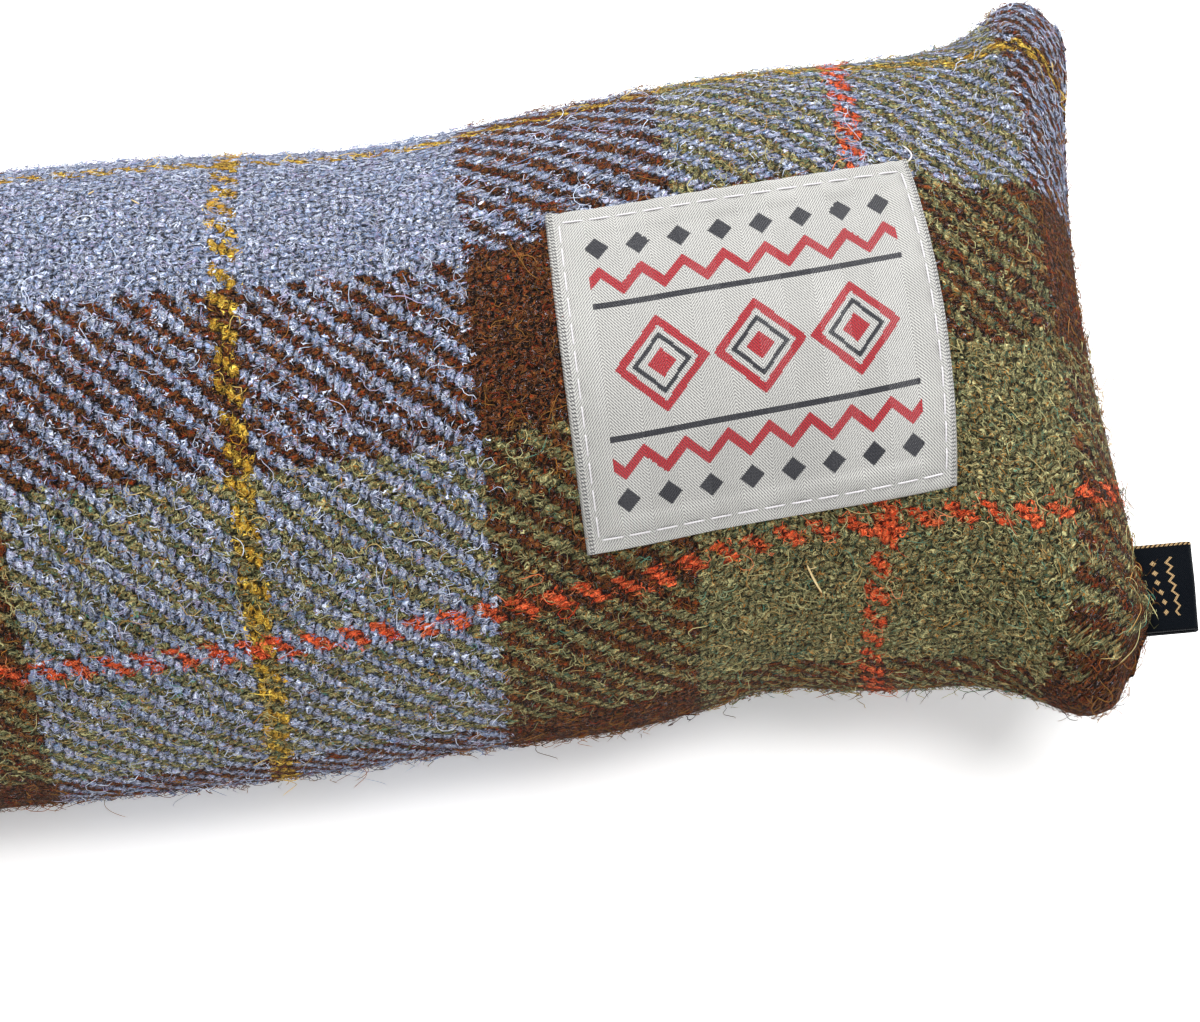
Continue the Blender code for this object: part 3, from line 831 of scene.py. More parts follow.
def satin_material():
    """Polyester satin: smooth, with a soft lustre."""
    finish = {"Roughness": 0.42, "Specular IOR Level": 0.5, "Sheen Weight": 0.1}
    made, tree, shader = new_material("woven_polyester_satin", finish)
    place = add(tree, "ShaderNodeUVMap", uv_map="label")
    stepped = add(tree, VECTOR, {0: place, 1: (SATIN_THREAD,) * 3}, operation="SNAP")
    split = add(tree, "ShaderNodeSeparateXYZ", {0: place})
    across, down = split.outputs[0], split.outputs[1]
    snapped = add(tree, "ShaderNodeSeparateXYZ", {0: stepped})
    x = add(tree, MATH, {0: snapped.outputs[0], 1: SATIN_THREAD / 2}, operation="ADD")
    y = add(tree, MATH, {0: snapped.outputs[1], 1: SATIN_THREAD / 2}, operation="ADD")

    # Herringbone: the distance to the nearest column edge, added to the way down, gives ribs that turn there
    folded = add(tree, MATH, {0: across, 1: HERRINGBONE / 2}, operation="PINGPONG")
    slope = add(tree, MATH, {0: folded, 1: 1.25, 2: down}, operation="MULTIPLY_ADD")
    turn = add(tree, MATH, {0: slope, 1: 2 * math.pi / RIB_PITCH}, operation="MULTIPLY")
    rib = add(tree, MATH, {0: turn}, operation="SINE")
    turn = add(tree, MATH, {0: across, 1: 2 * math.pi / (2 * SATIN_THREAD)}, operation="MULTIPLY")
    warp = add(tree, MATH, {0: turn}, operation="SINE")
    speckle = {"Vector": place, "Scale": 5.5, "Detail": 3, "Roughness": 0.7}
    grain = add(tree, NOISE, speckle, noise_dimensions="2D")
    cloud = add(tree, NOISE, {"Vector": place, "Scale": 0.12, "Detail": 2}, noise_dimensions="2D")
    relief = add(tree, MATH, {0: warp, 1: 0.25, 2: rib}, operation="MULTIPLY_ADD")
    relief = add(tree, MATH, {0: grain, 1: 1.5, 2: relief}, operation="MULTIPLY_ADD")
    # Painted light and shade: the ribs and the round of each thread, with some random grain, set how far a
    # thread's colour goes from its shaded to its lit tone
    painted_light_level = add(tree, STEP, {0: relief, 1: -0.5, 2: 1.7, 3: 0.0, 4: 1.0})
    ground = thread_tone(tree, painted_light_level, SATIN["shade"], SATIN["light"])

    # Zigzag lines: the distance from a folded wave
    in_band = add(tree, MATH, {0: x}, operation="ABSOLUTE")
    inside = add(tree, MATH, {0: in_band, 1: ORNAMENT_HALF_WIDTH}, operation="LESS_THAN")
    mirror = add(tree, MATH, {0: y}, operation="ABSOLUTE")
    wave = add(tree, MATH, {0: x, 1: ZIGZAG["half_pitch"]}, operation="PINGPONG")
    ridge = add(tree, MATH, {0: wave, 1: ZIGZAG["row"]}, operation="ADD")
    off = gap_to(tree, mirror, ridge)
    zigzag = add(tree, MATH, {0: off, 1: ZIGZAG["half_thickness"]}, operation="LESS_THAN")
    line = add(tree, MATH, {0: mirror, 1: LINE["row"], 2: LINE["half_thickness"]}, operation="COMPARE")

    # Small lozenges in rows near the hems, and three large open ones in the middle
    pitch = add(tree, MATH, {0: x, 1: LOZENGES["half_pitch"]}, operation="ADD")
    near = add(tree, MATH, {0: pitch, 1: LOZENGES["half_pitch"]}, operation="PINGPONG")
    small = add(tree, MATH, {0: near, 1: gap_to(tree, mirror, LOZENGES["row"])}, operation="ADD")
    small = add(tree, MATH, {0: small, 1: LOZENGES["reach"]}, operation="LESS_THAN")
    big_pitch = add(tree, MATH, {0: x, 1: MIDDLE["half_pitch"]}, operation="PINGPONG")
    diamond = add(tree, MATH, {0: big_pitch, 1: MIDDLE["slant"], 2: mirror}, operation="MULTIPLY_ADD")
    heart = add(tree, MATH, {0: diamond, 1: MIDDLE["heart"]}, operation="LESS_THAN")
    ring, inner = (
        add(tree, MATH, {0: diamond, 1: reach, 2: half}, operation="COMPARE")
        for reach, half in MIDDLE_RINGS.values()
    )

    in_middle = add(tree, MATH, {0: in_band, 1: MIDDLE_HALF_WIDTH}, operation="LESS_THAN")
    red = add(tree, MATH, {0: ring, 1: heart}, operation="MAXIMUM")
    red = add(tree, MATH, {0: red, 1: in_middle}, operation="MULTIPLY")
    red = add(tree, MATH, {0: red, 1: zigzag}, operation="MAXIMUM")
    red = add(tree, MATH, {0: red, 1: inside}, operation="MULTIPLY")
    navy = add(tree, MATH, {0: inner, 1: in_middle}, operation="MULTIPLY")
    navy = add(tree, MATH, {0: navy, 1: small}, operation="MAXIMUM")
    navy = add(tree, MATH, {0: navy, 1: line}, operation="MAXIMUM")
    navy = add(tree, MATH, {0: navy, 1: inside}, operation="MULTIPLY")
    # The red and navy figures take the same painted light and shade
    red_shade = thread_tone(tree, painted_light_level, SATIN["red_painted_shade"], SATIN["red"])
    navy_shade = thread_tone(tree, painted_light_level, INK["navy"], INK["navy_painted_highlight"])
    colour = add(tree, MIX, {0: navy, 6: ground, 7: navy_shade}, data_type="RGBA").outputs[2]
    colour = add(tree, MIX, {0: red, 6: colour, 7: red_shade}, data_type="RGBA").outputs[2]

    # The firm edges at left and right: a ladder of gaps between turns of the thread. Real ones are finer
    side = PATCH_SIZE[0] / 2 - LADDER["inset"]
    from_side = add(tree, MATH, {0: in_band, 1: side, 2: LADDER["half_width"]}, operation="COMPARE")
    hole = add(tree, MATH, {0: down, 1: LADDER["half_pitch"]}, operation="PINGPONG")
    hole = add(tree, MATH, {0: hole, 1: LADDER["half_gap"]}, operation="LESS_THAN")
    hole = add(tree, MATH, {0: hole, 1: from_side}, operation="MULTIPLY")
    hole = add(tree, MATH, {0: hole, 1: 0.8}, operation="MULTIPLY")
    colour = add(tree, MIX, {0: hole, 6: colour, 7: linear(LADDER["colour"])}, data_type="RGBA").outputs[2]
    tone = add(tree, STEP, {0: cloud, 1: 0.3, 2: 0.7, 3: 0.95, 4: 1.04})
    colour = add(tree, VECTOR, {0: colour, "Scale": tone}, operation="SCALE")

    figure = add(tree, MATH, {0: red, 1: navy}, operation="MAXIMUM")
    raised = add(tree, MATH, {0: figure, 1: 0.8, 2: relief}, operation="MULTIPLY_ADD")
    coat(tree, shader, colour.outputs[0], raised, WOVEN_RELIEF, 0.6)
    return made


patch = mesh_piece("satin_patch", np.concatenate([face_points, back_points]), patch_faces, satin_material(),
                   {"label": patch_map})
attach(patch, "root")
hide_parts("woven_patch")

# %% [markdown]
# ## Strands
# Stitches, wool hairs and bits of straw are all strands: a thin rod with pointed ends that follows a short
# path. One function makes any number of them at once. It takes the paths of all strands as one array, puts
# a ring of a few points round each inner point of a path, and repeats one pattern of faces.


# %% Strands along paths
def strand_pattern(steps, sides):
    """Triangles of one strand, and where their corners lie on a small flat map: a point, rings, and a
    point."""
    last = 1 + sides * (steps - 2)
    faces, places = [], []
    for side in range(sides):
        after = (side + 1) % sides
        here, there = side / sides, (side + 1) / sides
        faces.append((0, 1 + after, 1 + side))
        places.append(((here, 0.0), (there, 0.2), (here, 0.2)))
        for ring in range(steps - 3):
            low, high = 0.2 + 0.6 * ring / (steps - 2), 0.2 + 0.6 * (ring + 1) / (steps - 2)
            a, b = 1 + ring * sides + side, 1 + ring * sides + after
            faces += [(a, b, b + sides), (a, b + sides, a + sides)]
            places += [((here, low), (there, low), (there, high)), ((here, low), (there, high), (here, high))]
        low = 0.2 + 0.6 * (steps - 3) / (steps - 2)
        a, b = 1 + (steps - 3) * sides + side, 1 + (steps - 3) * sides + after
        faces.append((last, a, b))
        places.append(((here, 1.0), (here, low), (there, low)))
    return np.array(faces), np.array(places)


def strands(paths, radii, up, sides=3):
    """Closed strands along paths (n, steps, 3). A ring's points stand at radii (n, steps) round the path,
    in the plane square to it, starting from the direction that lies square to the path and to up (n, 3)."""
    count, steps, _ = paths.shape
    heading = paths[:, 2:] - paths[:, :-2]
    heading /= np.linalg.norm(heading, axis=-1, keepdims=True)
    first = np.cross(heading, up[:, None, :])
    first /= np.maximum(np.linalg.norm(first, axis=-1, keepdims=True), 1e-12)
    second = np.cross(heading, first)
    turn = 2 * math.pi * np.arange(sides) / sides
    spoke = first[:, :, None] * np.cos(turn)[:, None] + second[:, :, None] * np.sin(turn)[:, None]
    rings = paths[:, 1:-1, None] + spoke * radii[:, 1:-1, None, None]
    points = np.concatenate([paths[:, :1], rings.reshape(count, -1, 3), paths[:, -1:]], 1)
    pattern, places = strand_pattern(steps, sides)
    per = points.shape[1]
    faces = (pattern[None] + per * np.arange(count)[:, None, None]).reshape(-1, 3)
    grid = math.ceil(math.sqrt(count))
    cell = np.stack([np.arange(count) % grid, np.arange(count) // grid], -1)
    flat = (cell[:, None, None] + 0.1 + 0.8 * places[None]) / grid
    return points.reshape(-1, 3), faces, flat.reshape(-1, 3, 2), per


# %% [markdown]
# ## Wool hairs
# What makes wool look like wool is the hair that stands out of it. Most hairs lie over the threads in short
# curls, some stick out a millimetre or two, and a few long ones wander off. Painting them would look flat
# at the outline, so they are real strands. Their roots are scattered over the cover's own grid, close
# together on the end that is seen from near, and each takes a colour from the yarn that it grows from. None
# grows under the patch.

# %% Scatter roots over the cover
HAIR_SEED = 11
HAIR_SHADE_SHARES = (0.03, 0.22, 0.18, 0.24, 0.33)
DENSE_END = 0.168
DENSE_END_FADE = 0.006
FAR_DENSITY = 0.11
BACK_FROM = math.radians(78)
BACK_FADE = 0.12
FEWER_AT_BACK = 0.6
LYING_BELOW = 0.0006
EDGE_POINTS = 24
ROOT_DEPTH = 0.00004
ABOVE_TABLE = 0.00008

rng = np.random.default_rng(HAIR_SEED)
cells = cover_grid[:-1, :-1]
cell_along = cover_grid[1:, :-1] - cells
cell_round = cover_grid[:-1, 1:] - cells
cell_area = np.linalg.norm(np.cross(cell_along, cell_round), axis=-1)
cell_distance = (ring_distance[:-1] + ring_distance[1:])[:, None] / 2
cell_angle = (column_angle[:-1] + column_angle[1:])[None, :] / 2
density = FAR_DENSITY + (1 - FAR_DENSITY) / (1 + np.exp((cell_distance - DENSE_END) / DENSE_END_FADE))
towards_back = 1 / (1 + np.exp((-cell_angle - BACK_FROM) / BACK_FADE))
open_to_air = np.where(cells[..., 2] < LYING_BELOW, 0.0, 1.0)
weight = cell_area * density * (1 - FEWER_AT_BACK * towards_back) * open_to_air
weight = weight.reshape(-1) / weight.sum()

# The patch's outline in lengths of cloth, from the same formula as the patch
edge_share = np.linspace(0, 1, EDGE_POINTS + 1)[:-1]
low, high = np.zeros(EDGE_POINTS), np.ones(EDGE_POINTS)
outline_across = np.concatenate([edge_share, high, 1 - edge_share, low])
outline_down = np.concatenate([low, edge_share, high, 1 - edge_share])
outline = np.stack(patch_place(outline_across, outline_down), -1)


def inside_outline(x, y, corners):
    """Whether points lie in a polygon: a ray to the right crosses its edges an odd number of times."""
    found = np.zeros(len(x), bool)
    for (x0, y0), (x1, y1) in zip(corners, np.roll(corners, -1, 0)):
        crosses = (y0 > y) != (y1 > y)
        found ^= crosses & (x < (x1 - x0) * (y - y0) / (y1 - y0 + 1e-15) + x0)
    return found


def on_grid(values, row, column, along, round_it):
    """A value of the grid at places inside its cells, between the four corners."""
    def held(factor):
        return factor.reshape(factor.shape + (1,) * (values.ndim - 2))
    near = values[row, column] * held(1 - along) + values[row + 1, column] * held(along)
    far = values[row, column + 1] * held(1 - along) + values[row + 1, column + 1] * held(along)
    return near * held(1 - round_it) + far * held(round_it)


def roots(count):
    """Places for hairs: point, normal, the two directions of the threads, and the thread counts."""
    picked = rng.choice(weight.size, int(count * 1.25), p=weight)
    row, column = np.divmod(picked, COLUMNS)
    along, round_it = rng.random(picked.size), rng.random(picked.size)
    distance = ring_distance[row] * (1 - along) + ring_distance[row + 1] * along
    from_top = round_cloth - round_cloth[:, COLUMNS // 2:COLUMNS // 2 + 1]
    length_round = on_grid(from_top, row, column, along, round_it) * MILLIMETRE
    free = np.flatnonzero(~inside_outline(distance, length_round, outline))[:count]
    row, column, along, round_it = row[free], column[free], along[free], round_it[free]
    point = on_grid(cover_grid, row, column, along, round_it)
    cross_way = -cell_along[row, column]
    length_way = cell_round[row, column]
    normal = np.cross(-cross_way, length_way)
    unit = [v / np.linalg.norm(v, axis=-1, keepdims=True) for v in (normal, cross_way, length_way)]
    cross = on_grid(crosswise, row, column, along, round_it)
    length = on_grid(lengthwise, row, column, along, round_it)
    return point, *unit, cross, length


YARN_COLOURS = np.array([[linear(code) for code in YARNS[yarn]] for yarn in SETT_STARTS])
UNDYED = {"yellow": "#e2c98a", "blue": "#cdd5e4", "brown": "#a8763a", "green": "#c9bd84", "orange": "#e0a070"}
UNDYED_COLOURS = np.array([linear(UNDYED[yarn]) for yarn in SETT_STARTS])


def hair_colours(cross, length, pale):
    """A colour for each hair: one of the shades of the yarn on top, or now and then of the one below it.
    The share called pale is wool that took little of the dye."""
    count = len(cross)
    top = twill_top(cross, length) ^ (rng.random(count) < 0.18)
    yarn = yarn_number(np.where(top, np.floor(length), np.floor(cross)))
    shade = rng.choice(len(YARN_SHADES), count, p=HAIR_SHADE_SHARES)
    colour = YARN_COLOURS[yarn, shade] * rng.uniform(0.55, 1.3, count)[:, None]
    undyed = np.where(rng.random(count) < pale, rng.uniform(0.15, 0.7, count), 0)[:, None]
    colour = np.clip(colour * (1 - undyed) + UNDYED_COLOURS[yarn] * undyed, 0, 1)
    colour[:, 3] = 1
    return colour


# %% Hairs as curled paths
def hair_paths(count, steps, length, curl, lift, standing, height, pale):
    """Paths that start in the cloth and turn as they go. A lying hair rises by lift in its middle and dips
    back, and a standing one ends at height. Returns paths, normals and colours."""
    point, normal, cross_way, length_way, cross, along = roots(count)
    follows = twill_top(cross, along)
    turn = np.where(follows, 0.0, math.pi / 2) + rng.normal(0, 0.75, count)
    turn += math.pi * rng.integers(0, 2, count)
    share = np.linspace(0, 1, steps)
    long = rng.uniform(*length, count) * MILLIMETRE
    bend = rng.normal(0, curl, count)
    second = rng.normal(0, curl * 0.6, count)
    heading = turn[:, None] + bend[:, None] * share + second[:, None] * np.sin(2 * math.pi * share)
    step = long[:, None] / (steps - 1)
    x = np.concatenate([np.zeros((count, 1)), np.cumsum(np.cos(heading[:, :-1]) * step, 1)], 1)
    y = np.concatenate([np.zeros((count, 1)), np.cumsum(np.sin(heading[:, :-1]) * step, 1)], 1)
    up = rng.random(count) < standing
    lying = rng.uniform(*lift, count)[:, None] * MILLIMETRE * np.sin(math.pi * share) - ROOT_DEPTH
    free = rng.uniform(*height, count)[:, None] * MILLIMETRE * share**1.2 - ROOT_DEPTH
    z = np.where(up[:, None], free, lying)
    flat = cross_way[:, None] * x[..., None] + length_way[:, None] * y[..., None]
    paths = point[:, None] + flat + normal[:, None] * z[..., None]
    paths[..., 2] = np.maximum(paths[..., 2], ABOVE_TABLE)
    return paths, normal, hair_colours(cross, along, pale)


def wool_material():
    """Carded wool, whose fibres are scaly and slightly translucent: here plain fibres without gloss, their
    colour held by the mesh.
    """
    finish = {"Roughness": 0.75, "Specular IOR Level": 0.12}
    made, tree, shader = new_material("loose_wool_fibre", finish)
    colour = add(tree, "ShaderNodeAttribute", attribute_name="yarn_colour")
    tree.links.new(colour.outputs["Color"], shader.inputs["Base Color"])
    return made


def hair_piece(name, paths, normals, colours, radius, sides=3):
    """Strands of one thickness, each in its colour, as one piece on the cover."""
    count, steps, _ = paths.shape
    thick = np.broadcast_to(radius[:, None], (count, steps))
    points, faces, flat, per = strands(paths, thick, normals, sides)
    made = mesh_piece(name, points, faces, wool, {"OFBake": flat}, colours.repeat(per, 0))
    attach(made, "root")
    return made


# %% Grow the hairs
HAIR_KINDS = {
    # hairs, pieces, radius in metres, then steps, length, curl, lift, standing share, height, pale share
    "short_hairs": (40000, 3, (0.000036, 0.000060), 3, (0.7, 1.9), 1.3, (0.14, 0.5), 0.10, (0.3, 0.9), 0.08),
    "curled_hairs": (14000, 2, (0.000036, 0.000056), 4, (1.4, 3.0), 2.4, (0.18, 0.7), 0.16, (0.5, 1.6), 0.2),
    "loose_curls": (9600, 2, (0.000038, 0.000062), 7, (2.2, 5.5), 4.6, (0.3, 0.9), 0.18, (0.6, 1.8), 0.7),
    "long_hairs": (1200, 1, (0.000040, 0.000056), 10, (4.0, 9.0), 3.4, (0.3, 1.0), 0.35, (1.0, 3.2), 0.7),
}
wool = wool_material()
for kind, (hairs, pieces, radius, *habit) in HAIR_KINDS.items():
    for part in range(pieces):
        grown = hair_paths(hairs // pieces, *habit)
        name = f"{kind}_{part + 1}" if pieces > 1 else kind
        hair_piece(name, *grown, rng.uniform(*radius, len(grown[0])))

# %% [markdown]
# ## Sewing of the patch
# A running stitch of white thread holds the patch. Each stitch is a short, thick strand that dives into the
# cloth at both ends, and a loose end of the thread stands out at one corner.

# %% Stitches
STITCH_THREAD = 0.00012
STITCH_SHARE = 0.97
THREAD_RELIEF = 0.00005


def stitch_row(start, end, count):
    """Stitches on a straight line of the flat patch, from one pair of shares to another: arches between
    holes."""
    share = np.linspace(0, 1, 7)
    begin = (np.arange(count) + (1 - STITCH_SHARE) / 2) / count
    t = begin[:, None] + share[None] * STITCH_SHARE / count
    place = np.array(start)[:, None, None] + (np.array(end) - np.array(start))[:, None, None] * t
    arch = STITCH_THREAD * (0.5 + 0.9 * np.sin(math.pi * share)) - 0.0002 * np.abs(2 * share - 1) ** 3
    return on_patch(place[0], place[1], patch_height(place[0], place[1]) + arch[None])


def thread_material():
    """Spun polyester sewing thread: white, with a fine grain in place of the slanting ribs of its twist."""
    made, tree, shader = new_material("white_sewing_thread", {"Roughness": 0.6})
    place = add(tree, "ShaderNodeTexCoord")
    grain = add(tree, NOISE, {"Vector": place.outputs["Object"], "Scale": 3500, "Detail": 1})
    tone = add(tree, "ShaderNodeValToRGB", {0: grain})
    tone.color_ramp.elements[0].color = linear("#a9a6aa")
    tone.color_ramp.elements[1].color = linear("#d8d5d8")
    coat(tree, shader, tone.outputs[0], grain, THREAD_RELIEF, 0.5)
    return made


side_share = SELVEDGE_INSET / PATCH_SIZE[0]
end_share = STITCH_INSET / PATCH_SIZE[1]
columns_of_stitches = round((PATCH_SIZE[0] - 2 * SELVEDGE_INSET) / STITCH_PITCH)
rows_of_stitches = round((PATCH_SIZE[1] - 2 * STITCH_INSET) / STITCH_PITCH)
stitches = np.concatenate(
    [
        stitch_row((side_share, end_share), (1 - side_share, end_share), columns_of_stitches),
        stitch_row((side_share, 1 - end_share), (1 - side_share, 1 - end_share), columns_of_stitches),
        stitch_row((side_share, end_share), (side_share, 1 - end_share), rows_of_stitches),
        stitch_row((1 - side_share, end_share), (1 - side_share, 1 - end_share), rows_of_stitches),
    ]
)
stitch_up = np.tile((0.0, -0.35, 1.0), (len(stitches), 1))
thick = np.broadcast_to(STITCH_THREAD, stitches.shape[:2])
points, faces, flat, _ = strands(stitches, thick, stitch_up, 6)
sewing_thread = thread_material()
sewing = mesh_piece("patch_stitches", points, faces, sewing_thread, {"OFBake": flat})
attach(sewing, "root")

# %% [markdown]
# ## What is caught in the wool
# The cut end of the sewing thread lies past the patch's corner. A few bits of dry straw from the floor
# cling to the wool. Each is a thin strand between two places on the cover, given as distance from the seam
# and angle from the top, and it lies a little above the threads.

# %% The loose thread and the straw
THREAD_END = (((0.0261, -12.7), (0.0259, -17.8), 0.125, 0.45),)
STRAW = (
    # place of one end, place of the other, radius and height above the cloth in millimetres
    ((0.0461, 64.1), (0.0445, 70.8), 0.150, 0.35),
    ((0.0459, 65.2), (0.0448, 64.6), 0.070, 0.40),
    ((0.0552, 78.2), (0.0543, 79.8), 0.090, 0.30),
    ((0.0439, 81.5), (0.0440, 83.3), 0.090, 0.30),
    ((0.1318, -28.8), (0.1309, -29.8), 0.100, 0.30),
    ((0.1261, -25.6), (0.1249, -23.4), 0.100, 0.30),
)
STRAW_STEPS = 9
METRES_PER_DEGREE = 0.0007


def lying_bits(bits, bow):
    """Strands over the cover between pairs of places, tapered at their ends, each bowed sideways by a share
    of its length."""
    share = np.linspace(0, 1, STRAW_STEPS)
    first = np.array([bit[0] for bit in bits])[:, None]
    last = np.array([bit[1] for bit in bits])[:, None]
    place = first + (last - first) * share[None, :, None]
    distance = place[..., 0] + bow * (last - first)[..., 1] * METRES_PER_DEGREE * np.sin(math.pi * share)
    angle = np.radians(place[..., 1])
    high = np.array([bit[3] for bit in bits])[:, None] * MILLIMETRE * (0.6 + 0.4 * share)
    up = outward(distance, angle)
    paths = surface(distance, angle) + up * high[..., None]
    taper = 0.55 + 0.45 * np.sin(math.pi * share) ** 0.5
    radii = np.array([bit[2] for bit in bits])[:, None] * MILLIMETRE * taper
    return strands(paths, radii, up[:, 0], 6)


def straw_material():
    """Dry straw: pale gold with darker streaks and a faint gloss."""
    made, tree, shader = new_material("dry_straw", {"Roughness": 0.5})
    place = add(tree, "ShaderNodeTexCoord")
    grain = add(tree, NOISE, {"Vector": place.outputs["Object"], "Scale": 2200, "Detail": 2})
    tone = add(tree, "ShaderNodeValToRGB", {0: grain})
    tone.color_ramp.elements[0].color = linear("#a8874c")
    tone.color_ramp.elements[1].color = linear("#e4d3a0")
    tree.links.new(tone.outputs[0], shader.inputs["Base Color"])
    return made


for name, bits, bow, made_of, slot in (
    ("loose_thread_end", THREAD_END, 0.4, sewing_thread, "patch"),
    ("bits_of_straw", STRAW, 0.02, straw_material(), "tweed"),
):
    points, faces, flat, _ = lying_bits(bits, bow)
    piece = mesh_piece(name, points, faces, made_of, {"OFBake": flat})
    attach(piece, "root")

# %% [markdown]
# ## The side tab
# A narrow woven tape is folded in half and caught in the end seam, so its fold stands out. Seen along its
# width it is a hairpin, and the same hairpin in slices side by side makes the tape. It is thinner than the
# solid.

# %% Build the tab
TAB_ANGLE = math.radians(49.4)
TAB_WIDTH = 0.0127
TAB_LENGTH = 0.0077
TAPE = 0.00042
TAPE_APART = 0.00035
TAB_CURL = 0.00035
TAB_SKEW = 0.08
TAB_SLICES = 41
TAB_FOLD_STEPS = 12
TAB_STRAIGHT_STEPS = 18
TAB_INTO_SEAM = 0.0012


def hairpin():
    """The folded tape seen along its width: (outward length, height, length along the tape) of its outer
    side, then of its inner side back again."""
    outer = TAPE + TAPE_APART / 2
    inner = TAPE_APART / 2
    bend = np.linspace(math.pi / 2, -math.pi / 2, TAB_FOLD_STEPS + 1)
    middle = TAB_LENGTH - outer
    straight = np.linspace(-TAB_INTO_SEAM, middle, TAB_STRAIGHT_STEPS)[:-1]
    sides = []
    for radius, order in ((outer, 1), (inner, -1)):
        out = np.concatenate([straight, middle + radius * np.cos(bend), straight[::-1]])
        high = np.concatenate([straight * 0 + radius, radius * np.sin(bend), straight * 0 - radius])
        walked_out = np.concatenate([[0], np.cumsum(np.hypot(np.diff(out), np.diff(high)))])
        sides.append(np.stack([out, high, walked_out], -1)[::order])
    return np.concatenate(sides)


profile = hairpin()
tab_middle = surface(0.0, TAB_ANGLE)[1]
tab_across = np.linspace(TAB_WIDTH / 2, -TAB_WIDTH / 2, TAB_SLICES)
half_width = abs(surface(0.0, math.pi / 2)[1])
tab_start = surface(0.0, np.arcsin(-(tab_middle + tab_across) / half_width))[:, 0]
fold = X_RIGHT + TAB_PAST_CORNERS - TAB_SKEW * (TAB_WIDTH / 2 - tab_across)
reach = (fold - tab_start)[:, None] / TAB_LENGTH
tab_x = tab_start[:, None] + profile[None, :, 0] * reach
curl = TAB_CURL * np.cos(2.2 * math.pi * tab_across / TAB_WIDTH)[:, None] * (profile[None, :, 0] / TAB_LENGTH)
tab_z = CENTRE_HEIGHT + profile[None, :, 1] + curl
tab_y = np.broadcast_to((tab_middle + tab_across)[:, None], tab_x.shape)
tab_points = np.stack([tab_x, tab_y, tab_z], -1).reshape(-1, 3)
ring_count = len(profile)
slice_row, step = np.meshgrid(np.arange(TAB_SLICES - 1), np.arange(ring_count), indexing="ij")
here = (slice_row * ring_count + step).reshape(-1)
beside = (slice_row * ring_count + (step + 1) % ring_count).reshape(-1)
tab_sides = np.stack([here, here + ring_count, beside + ring_count, beside], -1)
half = np.arange(ring_count // 2 - 1)
edge_quads = np.stack([half, half + 1, ring_count - 2 - half, ring_count - 1 - half], -1)
tab_faces = np.concatenate([tab_sides, edge_quads, (TAB_SLICES - 1) * ring_count + edge_quads[:, ::-1]])
tape_place = np.stack(
    [
        np.broadcast_to(profile[None, :, 2], tab_x.shape) / MILLIMETRE,
        np.broadcast_to((TAB_WIDTH / 2 - tab_across)[:, None], tab_x.shape) / MILLIMETRE,
    ],
    -1,
).reshape(-1, 2)
tab_map = tape_place[tab_faces]

# %% [markdown]
# ## Woven navy tape
# The tape is a fine polyester damask: dark navy with a soft lustre, and a raised ornament in gold thread.
# Along the back edge the gold thread shows as small slanting stitches.

# %% Material of the tab
TAPE_THREAD = 0.16
# The navy and the gold each have a lit and a shaded tone, and the colour is mixed between them: a painted
# highlight and a painted shade
NAVY = {"dark": "#020407", "light": "#070d14", "gold": "#bca077", "gold_painted_shade": "#6a5233"}

# The ornament in millimetres from the seam end of the tape, and from its edge
TAPE_ZIGZAG = {"row": 5.3, "half_pitch": 0.72, "half_thickness": 0.20}
TAPE_LOZENGES = {"row": 3.6, "reach": 0.42}
TAPE_ORNAMENT_HALF_WIDTH = 4.3
TAPE_EDGE = {"width": 0.42, "slant": 0.9, "half_pitch": 0.30, "gold": 0.19}


